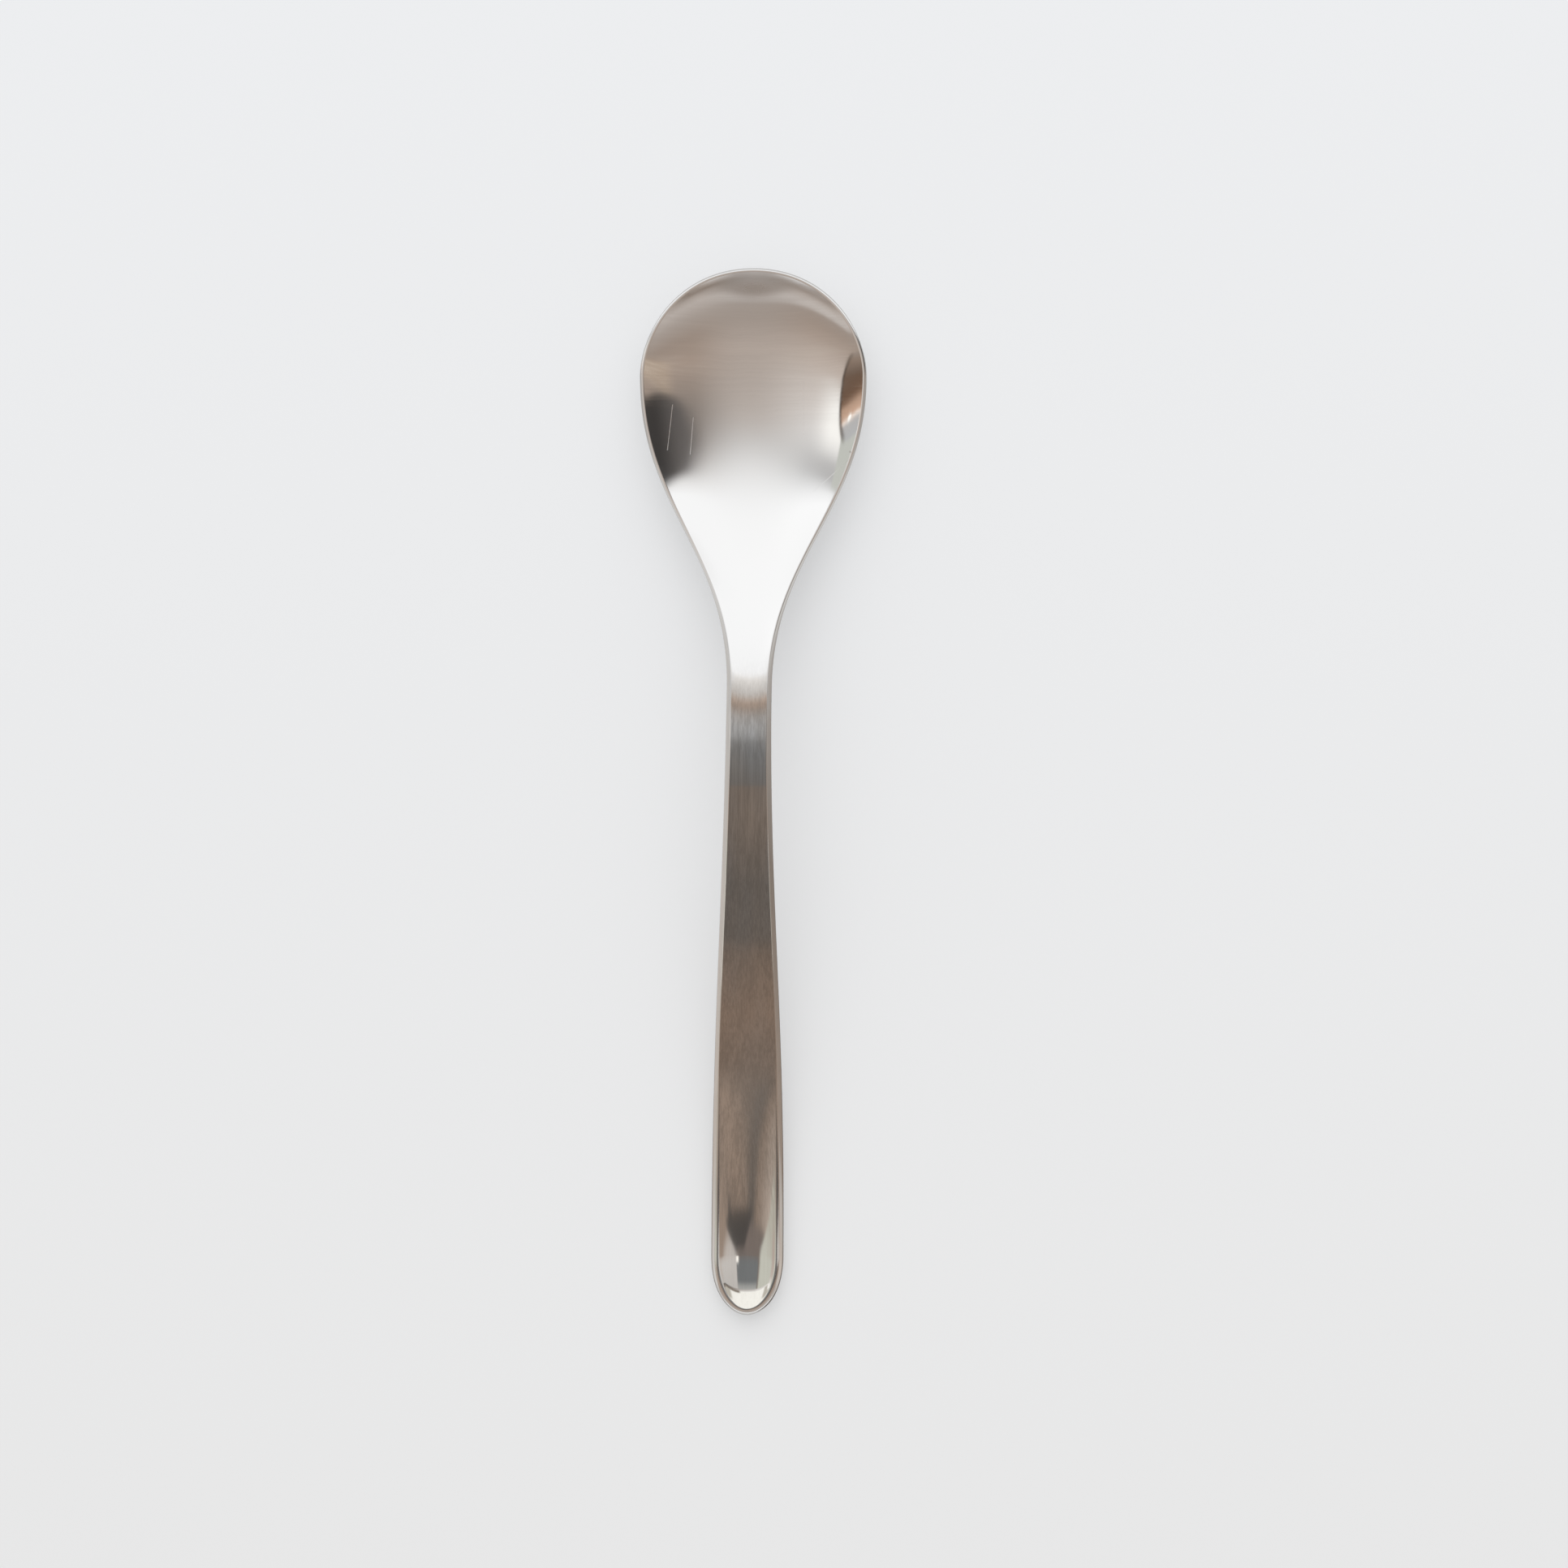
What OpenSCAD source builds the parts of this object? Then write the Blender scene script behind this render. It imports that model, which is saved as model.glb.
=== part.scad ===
// Soup spoon, pressed and ground from one blank of stainless steel.
// The spoon lies as it rests on a table: the origin is on the table under the
// middle of its length, +Y points to the tip of the bowl and +Z is up.
// Distances "from the tip" and "from the end" are measured along the table.

/* [Length and arch] */
// Length from the tip of the bowl to the end of the handle
length = 175; // [165:1:190]
// Height of the crown of the arch above the table, at the middle of the stock
crown_h = 15; // [12:0.5:18]
// Distance of the crown from the tip
crown_at = 84; // [80:1:90]
// Distance from the end to where the handle rests on the table
rest_back = 8; // [7:0.5:11]

/* [Bowl] */
// Width over the rim
bowl_w = 37.8; // [34:0.2:42]
// Distance of the widest place from the tip
bowl_wide_at = 18; // [17:0.5:24]
// Distance of the lowest place from the tip, where the bowl rests on the table
bowl_low_at = 22; // [20:0.5:26]
// Depth from the rim to the lowest place, at the middle of the stock
bowl_depth = 7; // [5:0.25:9]
// Distance from the tip to where the rim begins to climb to the crown
rim_climb_at = 37; // [32:1:42]
// How square the bowl's walls stand: 0 is a parabola, 1 is flat-bottomed
wall_square_share = 0.3; // [0:0.05:0.6]

/* [Neck] */
// Width of the neck
neck_w = 7.4; // [6.4:0.2:9]
// Distance from the tip to the foot of the shoulders, where the neck begins
neck_at = 70; // [65:1:75]

/* [Handle] */
// Width at the widest place
handle_w = 12.1; // [10:0.1:14]
// Distance of the widest place from the end
handle_wide_back = 10; // [8:0.5:12]
// Depth of the thumb hollow in the end
hollow_depth = 2; // [1:0.1:2.5]
// Length over which the thumb hollow fades into the handle
hollow_fade = 42; // [30:1:55]

/* [Stock] */
// Thickness of the bowl
bowl_t = 0.9; // [0.8:0.05:1.4]
// Thickness at the crown, the strongest place
neck_t = 2.5; // [2:0.1:3]
// Thickness of the handle where it rests on the table
handle_t = 2.1; // [1.6:0.1:2.4]
// Distance from the tip to where the stock begins to thicken
swell_at = 48; // [42:1:54]
// Angle from the face at which the ground edge breaks away, in degrees
edge_break = 20; // [10:1:35]

/* [Hidden] */

steel_colour = [0.74, 0.72, 0.70];

// Places along the spoon, all as distances from the tip
rest_at = length - rest_back;
handle_wide_at = length - handle_wide_back;
hollow_from = rest_at - hollow_fade;

// How far the outline's curve keeps its heading when it leaves and reaches a
// knot, as shares of the span between the knots, tip to end
heading_shares = [[0.68, 0.40], [0.43, 0.44], [0.38, 0.46], [0.72, 0.42]];

// Half of the outline as knots of [half width, distance from the tip]
knots = [
    [0, 0],
    [bowl_w/2, bowl_wide_at],
    [neck_w/2, neck_at],
    [handle_w/2, handle_wide_at],
    [0, length]
];

// Rows of the skin between one knot and the next, and bands across each half
span_rows = [14, 20, 26, 15];
bands = 7;
edge_steps = 6;
halvings = 26;

// Rows fan out round the closed ends from a point on the middle line, which
// lies this share of the way in from the end to the lowest place
fan_share = 0.6;
front_fan_at = fan_share*bowl_low_at;
end_fan_at = length - fan_share*rest_back;

// Steps over which slopes are measured, on the faces and along the outline
probe_share = 0.05;
probe = probe_share*bowl_t;
heading_step_share = 0.001;

// Smooth rise from 0 to 1
function ease(u) = let (v = max(0, min(1, u))) v*v*(3 - 2*v);

function mix(a, b, share) = a + (b - a)*share;

// Rise of a hollow's wall, from 0 in the middle to 1 at the rim
function wall(q) = q*q*(1 - wall_square_share + wall_square_share*q*q);

// Point at share t of a cubic curve between two points with two headings
function cubic(a, b, c, d, t) =
    pow(1 - t, 3)*a + 3*t*pow(1 - t, 2)*b + 3*t*t*(1 - t)*c + pow(t, 3)*d;

// The curve runs across the spoon at both ends and along it at the other knots
function leaving(i) = let (span = knots[i + 1] - knots[i], share = heading_shares[i][0])
    i == 0 ? knots[i] + [span.x*share, 0] : knots[i] + [0, span.y*share];

function reaching(i) = let (span = knots[i + 1] - knots[i], share = heading_shares[i][1])
    i == len(span_rows) - 1 ? knots[i + 1] - [span.x*share, 0] : knots[i + 1] - [0, span.y*share];

// Half width and distance from the tip, at share t of span i
function outline(i, t) = cubic(knots[i], leaving(i), reaching(i), knots[i + 1], t);

// Share of span i at which the outline passes a given distance from the tip
function share_at(i, along, low = 0, high = 1, left = halvings) =
    let (middle = (low + high)/2)
    left == 0 ? middle
    : outline(i, middle).y < along ? share_at(i, along, middle, high, left - 1)
    : share_at(i, along, low, middle, left - 1);

function span_of(along) =
    along < knots[1].y ? 0 : along < knots[2].y ? 1 : along < knots[3].y ? 2 : 3;

function half_width(along) = let (i = span_of(along)) outline(i, share_at(i, along)).x;

// Thickness of the stock, from the thin bowl over the crown to the handle
function stock(along) = along < crown_at
    ? mix(bowl_t, neck_t, ease((along - swell_at)/(crown_at - swell_at)))
    : mix(neck_t, handle_t, ease((along - crown_at)/(rest_at - crown_at)));

// Heights of the middle of the stock. The arch is the handle without its hollow.
bowl_low = bowl_t/2;
rim_level = bowl_low + bowl_depth;
handle_low = handle_t/2;

function arch(along) = mix(handle_low, crown_h, ease((rest_at - along)/(rest_at - crown_at)));

function hollow(along) = hollow_depth*ease((along - hollow_from)/hollow_fade);

// The rim line is the outline seen from the side
function rim_line(along) = along < crown_at
    ? mix(rim_level, crown_h, ease((along - rim_climb_at)/(crown_at - rim_climb_at)))
    : arch(along) + hollow(along);

// The keel line is the middle line seen from the side. It touches the table
// twice, and its ends climb to the rim line as the hollows' own walls do.
function keel_line(along) =
    along < bowl_low_at ? bowl_low + bowl_depth*wall((bowl_low_at - along)/bowl_low_at)
    : along < crown_at
        ? mix(bowl_low, crown_h, ease((along - bowl_low_at)/(crown_at - bowl_low_at)))
    : along < rest_at ? arch(along)
    : handle_low + hollow_depth*wall((along - rest_at)/rest_back);

// Height of the middle of the stock at any place inside the outline
function height(across, along) = let (keel = keel_line(along))
    keel + (rim_line(along) - keel)*wall(across/half_width(along));

function unit(v) = v/norm(v);

// The face's own direction there, pointing up
function upright(across, along) = unit([
    height(across - probe, along) - height(across + probe, along),
    height(across, along + probe) - height(across, along - probe),
    2*probe
]);

function on_table(across, along) = [across, length/2 - along];

// One skin point: a place in the middle of the stock, moved along its own
// upright to the inner face (side 1) or to the underside (side -1)
function face_point(across, along, side) =
    concat(on_table(across, along), height(across, along))
    + upright(across, along)*side*stock(along)/2;

// The ground edge is one shallow arc over the whole thickness
function edge_r(along) = stock(along)/(2*cos(edge_break));

// Direction out of the outline, in the plane of the table, at share t of span i
function outward(i, t) = let (
        back = outline(i, max(0, t - heading_step_share)),
        ahead = outline(i, min(1, t + heading_step_share))
    ) unit([ahead.y - back.y, back.x - ahead.x]);

// Centre of the edge's arc: [half width, distance from the tip]
function edge_centre(i, t) = let (p = outline(i, t))
    i == 0 && t == 0 ? [0, edge_r(0)]
    : i == len(span_rows) - 1 && t == 1 ? [0, length - edge_r(length)]
    : p - outward(i, t)*edge_r(p.y);

// Angles round the edge's arc from the face's upright, underside first
edge_angles = [for (k = [0:edge_steps]) mix(180 - edge_break, edge_break, k/edge_steps)];

// Where a row of the skin meets the middle line: rows fan out round both ends
function keel_at(i, t) =
    i == 0 ? mix(front_fan_at, bowl_wide_at, t)
    : i == len(span_rows) - 1 ? mix(handle_wide_at, end_fan_at, t)
    : edge_centre(i, t).y;

// Points of one row on the +X half, from the keel on the underside, round the
// edge and back to the keel on the inner face
function row(i, t) = let (
        foot = keel_at(i, t),
        centre = edge_centre(i, t),
        place = [for (k = [0:bands]) mix([0, foot], centre, k/bands)],
        up = upright(centre.x, centre.y),
        plan_out = outward(i, t),
        flat_out = [plan_out.x, -plan_out.y, 0],
        out = unit(flat_out - up*(flat_out*up)),
        seat = concat(on_table(centre.x, centre.y), height(centre.x, centre.y)),
        r = edge_r(outline(i, t).y)
    ) concat(
        [for (k = [0:bands]) face_point(place[k].x, place[k].y, -1)],
        [for (a = edge_angles) seat + r*(out*sin(a) + up*cos(a))],
        [for (k = [bands:-1:0]) face_point(place[k].x, place[k].y, 1)]
    );

// Rows are evenly spaced along the spoon between the closed ends, and follow
// the curve's own share round them
function row_share(i, k) = let (share = k/span_rows[i])
    i == 0 || i == len(span_rows) - 1 ? share
    : share_at(i, mix(knots[i].y, knots[i + 1].y, share));

// All rows of the half from the tip to the end
half_rows = concat(
    [for (i = [0:len(span_rows) - 1], k = [0:span_rows[i] - 1]) row(i, row_share(i, k))],
    [row(len(span_rows) - 1, 1)]
);

last_row = len(half_rows) - 1;
row_len = len(half_rows[0]);

// The other half mirrors the first and shares its middle line and both ends,
// so its points leave those out
mirrored_rows = [for (j = [1:last_row - 1])
    [for (k = [1:row_len - 2]) let (p = half_rows[j][k]) [-p.x, p.y, p.z]]
];

skin_points = concat(
    [for (r = half_rows) each r],
    [for (r = mirrored_rows) each r]
);

// Index of point k in row j of the half on side 1 or of its mirror image
function index(j, k, side) =
    side > 0 || j == 0 || j == last_row || k == 0 || k == row_len - 1
        ? j*row_len + k
        : (last_row + 1)*row_len + (j - 1)*(row_len - 2) + k - 1;

// Two triangles for each mesh of the skin, wound to face outwards. Beside the
// ends of the middle lines the short way across keeps them off the mid plane.
skin_faces = [for (side = [1, -1], j = [0:last_row - 1], k = [0:row_len - 2]) let (
        a = index(j, k, side),
        b = index(j + 1, k, side),
        c = index(j + 1, k + 1, side),
        d = index(j, k + 1, side),
        turned = j == 0 && k > bands || j == last_row - 1 && k <= bands,
        pair = turned ? [[a, b, d], [b, c, d]] : [[a, b, c], [a, c, d]]
    ) each side > 0 ? pair : [for (t = pair) [t[0], t[2], t[1]]]
];

// Bowl, neck and handle are one continuous dished and tapered pressing
module spoon() {
    color(steel_colour)
        polyhedron(points = skin_points, faces = skin_faces, convexity = 6);
}

spoon();
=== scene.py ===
"""Soup spoon in satin stainless steel, lying on a pale table under a soft window light.

The spoon is one pressing. Its skin is lofted by a Geometry Nodes tree from named sizes, and its
finish is a brushed steel whose grain runs along the handle and across the bowl.
"""

import logging
import math
from collections.abc import Callable
from dataclasses import dataclass, field, fields
from enum import Enum

import bpy
from mathutils import Matrix, Vector


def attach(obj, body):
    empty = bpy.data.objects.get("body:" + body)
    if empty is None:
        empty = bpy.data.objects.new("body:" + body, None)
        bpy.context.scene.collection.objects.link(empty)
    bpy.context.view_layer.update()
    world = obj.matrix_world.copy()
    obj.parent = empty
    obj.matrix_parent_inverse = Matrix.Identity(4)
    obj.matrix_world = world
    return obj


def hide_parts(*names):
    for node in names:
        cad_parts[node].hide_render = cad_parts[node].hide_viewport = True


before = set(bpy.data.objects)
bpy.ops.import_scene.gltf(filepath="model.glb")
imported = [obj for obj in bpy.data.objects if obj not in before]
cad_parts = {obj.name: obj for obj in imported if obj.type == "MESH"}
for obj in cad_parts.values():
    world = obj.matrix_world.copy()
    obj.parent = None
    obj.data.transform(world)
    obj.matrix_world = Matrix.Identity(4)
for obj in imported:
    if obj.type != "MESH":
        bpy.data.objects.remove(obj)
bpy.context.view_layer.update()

log = logging.getLogger("soup_spoon")
logging.basicConfig(level=logging.INFO, format="%(name)s: %(message)s")

MM = 0.001
Colour = tuple[float, float, float]


class Rise(Enum):
    """How a number rises between two values: eased at both ends, or evenly."""

    SOFT = "SMOOTHSTEP"
    EVEN = "LINEAR"


class Kind(Enum):
    """The kind of value that an attribute of a mesh holds."""

    NUMBER = "FLOAT"
    VECTOR = "FLOAT_VECTOR"


def sign(operation: str, swapped: bool = False) -> Callable[["Field", "Value"], "Field"]:
    """Makes the method behind one of the usual signs for arithmetic.

    Args:
        operation: Blender's name for what the sign does.
        swapped: Whether the field stands on the sign's right.

    Returns:
        The method, which adds the node to the field's own tree.
    """

    def method(self: "Field", other: "Value") -> "Field":
        """Returns what the sign makes of the two."""
        return self.tree.math(operation, *((other, self) if swapped else (self, other)))

    return method


class Field:
    """A number or vector that a node tree works out, with the usual signs for arithmetic.

    The signs < and > give 1 where they hold, and 0 elsewhere.
    """

    __add__ = __radd__ = sign("ADD")
    __sub__ = sign("SUBTRACT")
    __rsub__ = sign("SUBTRACT", swapped=True)
    __mul__ = __rmul__ = sign("MULTIPLY")
    __truediv__ = sign("DIVIDE")
    __lt__ = sign("LESS_THAN")
    __gt__ = sign("GREATER_THAN")

    def __init__(self, tree: "Tree", socket: bpy.types.NodeSocket) -> None:
        """Wraps one output socket of a node in the tree."""
        self.tree, self.socket = tree, socket


Value = Field | float


class Tree:
    """Writes a node tree, one readable line a node."""

    def __init__(self, tree: bpy.types.NodeTree) -> None:
        """Starts on a tree that holds no nodes yet.

        Args:
            tree: The geometry or shader tree to write in.
        """
        self.tree = tree

    def node(self, kind: str, **settings: object) -> bpy.types.Node:
        """Adds a node and sets its own properties.

        Args:
            kind: Blender's name for the kind of node.
            **settings: Values for the node's properties.

        Returns:
            The new node.
        """
        made = self.tree.nodes.new(kind)
        for name, value in settings.items():
            setattr(made, name, value)
        return made

    def feed(self, socket: bpy.types.NodeSocket, value: object) -> None:
        """Links a field to an input socket, or sets the socket to a plain value.

        Args:
            socket: The input to fill.
            value: A Field, a socket, or a value that the socket can hold.
        """
        if isinstance(value, Field):
            self.tree.links.new(value.socket, socket)
        elif isinstance(value, bpy.types.NodeSocket):
            self.tree.links.new(value, socket)
        else:
            socket.default_value = value

    def call(self, kind: str, inputs: dict[str | int, object], output: str | int = 0,
             **settings: object) -> Field:
        """Adds a node, fills its inputs and returns one of its outputs.

        Args:
            kind: Blender's name for the kind of node.
            inputs: Input names or numbers, with what goes into each.
            output: Name or number of the output to return.
            **settings: Values for the node's properties.

        Returns:
            The output as a field.
        """
        made = self.node(kind, **settings)
        for name, value in inputs.items():
            self.feed(made.inputs[name], value)
        return Field(self, made.outputs[output])

    def math(self, operation: str, *values: Value, clamp: bool = False) -> Field:
        """Returns a sum, product or other function of one to three numbers."""
        inputs = dict(enumerate(values))
        return self.call("ShaderNodeMath", inputs, operation=operation, use_clamp=clamp)

    def vector_math(self, operation: str, *values: object, output: str | int = 0) -> Field:
        """Returns a vector sum, product or other function of vectors."""
        inputs = dict(enumerate(values))
        return self.call("ShaderNodeVectorMath", inputs, output, operation=operation)

    def scaled(self, vector: Field, factor: Value) -> Field:
        """Returns a vector times a number."""
        return self.call("ShaderNodeVectorMath", {0: vector, "Scale": factor}, operation="SCALE")

    def dot(self, a: object, b: object) -> Field:
        """Returns the dot product of two vectors."""
        return self.vector_math("DOT_PRODUCT", a, b, output="Value")

    def vector(self, x: Value, y: Value, z: Value = 0.0) -> Field:
        """Returns a vector made of three numbers."""
        return self.call("ShaderNodeCombineXYZ", {0: x, 1: y, 2: z})

    def length(self, vector: Field) -> Field:
        """Returns a vector's length."""
        return self.vector_math("LENGTH", vector, output="Value")

    def parts(self, vector: Field) -> tuple[Field, Field, Field]:
        """Returns the three numbers in a vector."""
        first = self.call("ShaderNodeSeparateXYZ", {0: vector})
        return tuple(Field(self, output) for output in first.socket.node.outputs)

    def mix(self, a: Value, b: Value, share: Value) -> Field:
        """Returns the number that lies the given share of the way from a to b."""
        return a + (b - a) * share

    def ramp(self, value: Value, start: Value, stop: Value, rise: Rise = Rise.SOFT) -> Field:
        """Returns 0 before start and 1 after stop, with a rise between them.

        Args:
            value: The number to look at.
            start: Where the rise begins.
            stop: Where it ends.
            rise: How it rises.

        Returns:
            The share, from 0 to 1.
        """
        inputs = {"Value": value, "From Min": start, "From Max": stop}
        return self.call("ShaderNodeMapRange", inputs, interpolation_type=rise.value, clamp=True)

    def colour_mix(self, a: Field | Colour, b: Field | Colour, share: Value) -> Field:
        """Mixes two colours.

        Args:
            a: The colour where the share is 0.
            b: The colour where it is 1.
            share: How far to go from a to b.

        Returns:
            The mixed colour.
        """
        made = self.node("ShaderNodeMix", data_type="RGBA")
        for i, value in ((0, share), (6, a), (7, b)):
            padded = isinstance(value, tuple) and len(value) == 3
            self.feed(made.inputs[i], (*value, 1.0) if padded else value)
        return Field(self, made.outputs[2])

    def tone_scale(self, value: Field, tones: "Tones") -> Field:
        """Reads a colour off a scale of tones.

        Args:
            value: The place on the scale, between -1 and 1.
            tones: The tones, with at least two of them, in the order of their places.

        Returns:
            The colour there.
        """
        ramp = self.node("ShaderNodeValToRGB")
        elements = ramp.color_ramp.elements
        while len(elements) < len(tones):
            elements.new(0.5)
        for element, tone in zip(elements, tones):
            element.position = (tone.place + 1.0) / 2.0
            element.color = (*tone.colour(), 1.0)
        self.feed(ramp.inputs["Fac"], (value + 1.0) * 0.5)
        return Field(self, ramp.outputs["Color"])

    def noise(self, place: Field, scale: float = 1.0, detail: float = 2.0,
              roughness: float = 0.5) -> Field:
        """Returns soft noise around 0.5."""
        inputs = {"Vector": place, "Scale": scale, "Detail": detail, "Roughness": roughness}
        return self.call("ShaderNodeTexNoise", inputs, "Fac")

    def attribute(self, name: str) -> Field:
        """Returns a number that is stored on the piece's mesh, for a material."""
        return self.call("ShaderNodeAttribute", {}, "Fac", attribute_name=name)

    def seen_by(self, *kinds: str) -> Field:
        """Tells kinds of ray apart.

        Args:
            *kinds: Names of Light Path's outputs.

        Returns:
            1 for rays of these kinds, and 0 for others.
        """
        path = self.node("ShaderNodeLightPath")
        total = sum(Field(self, path.outputs[kind]) for kind in kinds)
        return self.math("MINIMUM", total, 1.0)

    def show(self, shader: Field, kind: str = "ShaderNodeOutputMaterial") -> None:
        """Makes the shader what the tree shows."""
        self.feed(self.node(kind).inputs["Surface"], shader)


@dataclass(frozen=True)
class SpoonSizes:
    """Driving sizes of the spoon, in metres. The names match the tree's inputs.

    Distances are measured along the table, from the tip of the bowl unless a name ends in back,
    which means from the end of the handle.
    """

    length: float = 175 * MM
    crown_height: float = 15 * MM
    crown_at: float = 84 * MM
    rest_back: float = 8 * MM
    bowl_width: float = 37.8 * MM
    bowl_wide_at: float = 18 * MM
    bowl_low_at: float = 22 * MM
    bowl_depth: float = 7 * MM
    rim_climb_at: float = 37 * MM
    wall_squareness: float = 0.3
    neck_width: float = 7.4 * MM
    neck_at: float = 70 * MM
    handle_width: float = 12.1 * MM
    handle_wide_back: float = 10 * MM
    hollow_depth: float = 2 * MM
    hollow_fade: float = 42 * MM
    bowl_stock: float = 0.9 * MM
    neck_stock: float = 2.5 * MM
    handle_stock: float = 2.1 * MM
    swell_at: float = 48 * MM
    edge_break: float = math.radians(20)
    fan_share: float = 0.6


# How far the outline keeps its heading as it leaves and reaches a knot, as shares of the span
HEADING_SHARES = ((0.68, 0.40), (0.43, 0.44), (0.38, 0.46), (0.72, 0.42))
SPANS = len(HEADING_SHARES)


@dataclass
class SkinTree:
    """The Geometry Nodes tree that lofts the spoon's skin from its sizes.

    The outline is a chain of cubic curves between five knots. Rows run from the middle line out
    to it, all the way round. The sheet they make lies in the middle of the stock; it is moved both
    ways along its own normals, and an arc is swept round its rim to join the two faces.
    """

    sizes: SpoonSizes
    rows_a_span: int = 60
    bands: int = 36
    edge_steps: int = 18
    break_share: float = 0.6
    curve_steps: int = 240
    fence: float = 10 * MM
    nudge: float = 0.0001 * MM
    weld: float = 0.001 * MM
    tree: Tree = field(init=False)
    given: bpy.types.Node = field(init=False)
    half_length: Field = field(init=False)
    rest_at: Field = field(init=False)
    handle_wide_at: Field = field(init=False)
    hollow_from: Field = field(init=False)
    bowl_low: Field = field(init=False)
    handle_low: Field = field(init=False)
    rim_level: Field = field(init=False)
    curves: list[Field] = field(init=False)
    fence_mesh: Field = field(init=False)

    def build(self, material: bpy.types.Material) -> bpy.types.NodeTree:
        """Writes the whole tree.

        Args:
            material: What the skin is made of.

        Returns:
            The finished node group.
        """
        group = bpy.data.node_groups.new("spoon_skin", "GeometryNodeTree")
        tree = self.tree = Tree(group)
        interface = group.interface
        interface.new_socket("Geometry", in_out="INPUT", socket_type="NodeSocketGeometry")
        for size in fields(self.sizes):
            interface.new_socket(size.name, in_out="INPUT", socket_type="NodeSocketFloat")
        interface.new_socket("Geometry", in_out="OUTPUT", socket_type="NodeSocketGeometry")
        self.given = tree.node("NodeGroupInput")
        self.name_places()
        self.draw_outline()
        sheet = self.loft_sheet()
        skin = self.close_skin(sheet)
        skin = tree.call("GeometryNodeSetShadeSmooth", {"Geometry": skin})
        skin = tree.call("GeometryNodeRealizeInstances", {"Geometry": skin})
        skin = tree.call("GeometryNodeSetMaterial", {"Geometry": skin, "Material": material})
        result = tree.node("NodeGroupOutput")
        tree.feed(result.inputs["Geometry"], skin)
        return group

    def size(self, name: str) -> Field:
        """Returns one of the tree's inputs as a field."""
        return Field(self.tree, self.given.outputs[name])

    def name_places(self) -> None:
        """Works out places and heights that several steps share."""
        self.half_length = self.size("length") * 0.5
        self.rest_at = self.size("length") - self.size("rest_back")
        self.handle_wide_at = self.size("length") - self.size("handle_wide_back")
        self.hollow_from = self.rest_at - self.size("hollow_fade")
        self.bowl_low = self.size("bowl_stock") * 0.5
        self.handle_low = self.size("handle_stock") * 0.5
        self.rim_level = self.bowl_low + self.size("bowl_depth")

    def draw_outline(self) -> None:
        """Draws half of the outline as one cubic curve a span, on the table."""
        tree = self.tree
        zero = self.size("length") * 0.0
        knots = [
            (zero, zero),
            (self.size("bowl_width") * 0.5, self.size("bowl_wide_at")),
            (self.size("neck_width") * 0.5, self.size("neck_at")),
            (self.size("handle_width") * 0.5, self.handle_wide_at),
            (zero, self.size("length")),
        ]
        self.curves = []
        for i, (leave, reach) in enumerate(HEADING_SHARES):
            (x0, s0), (x1, s1) = knots[i], knots[i + 1]
            first = (x0 + (x1 - x0) * leave, s0) if i == 0 else (x0, s0 + (s1 - s0) * leave)
            last = i == SPANS - 1
            second = (x1 - (x1 - x0) * reach, s1) if last else (x1, s1 - (s1 - s0) * reach)
            points = {
                "Start": (x0, s0), "Start Handle": first, "End Handle": second, "End": (x1, s1)
            }
            inputs = {name: self.on_table(*place) for name, place in points.items()}
            inputs["Resolution"] = self.curve_steps
            kind = "GeometryNodeCurvePrimitiveBezierSegment"
            self.curves.append(tree.call(kind, inputs, mode="POSITION"))
        joined = tree.node("GeometryNodeJoinGeometry")
        for curve in self.curves:
            tree.feed(joined.inputs[0], curve)
        line = tree.call("GeometryNodeCurveToMesh", {"Curve": joined.outputs[0]})
        inputs = {"Mesh": line, "Offset": tree.vector(0.0, 0.0, self.fence)}
        self.fence_mesh = tree.call("GeometryNodeExtrudeMesh", inputs, mode="EDGES")

    def on_table(self, across: Value, along: Value) -> Field:
        """Returns the point at a distance across and a distance from the tip."""
        return self.tree.vector(across, self.half_length - along)

    def half_width(self, y: Field) -> Field:
        """Measures the outline's half width by a ray across the table.

        Args:
            y: The frame's own y.

        Returns:
            The half width there.
        """
        inputs = {
            "Target Geometry": self.fence_mesh,
            "Source Position": self.tree.vector(0.0, y + self.nudge, self.fence / 2),
            "Ray Direction": (1.0, 0.0, 0.0),
            "Ray Length": 1.0,
        }
        hit = self.tree.call("GeometryNodeRaycast", inputs, "Hit Position")
        return self.tree.parts(hit)[0]

    def stock(self, along: Field) -> Field:
        """Works out the steel's thickness, from the thin bowl over the crown to the handle.

        Args:
            along: Distance from the tip.

        Returns:
            The thickness there.
        """
        tree = self.tree
        bowl, neck = self.size("bowl_stock"), self.size("neck_stock")
        crown = self.size("crown_at")
        swell = tree.ramp(along, self.size("swell_at"), crown)
        thin = tree.ramp(along, crown, self.rest_at)
        return tree.mix(bowl, neck, swell) + (self.size("handle_stock") - neck) * thin

    def wall(self, q: Field) -> Field:
        """Returns a hollow's rise, from 0 in the middle to 1 at the rim."""
        squareness, square = self.size("wall_squareness"), q * q
        return square * (1.0 - squareness + squareness * square)

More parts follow.
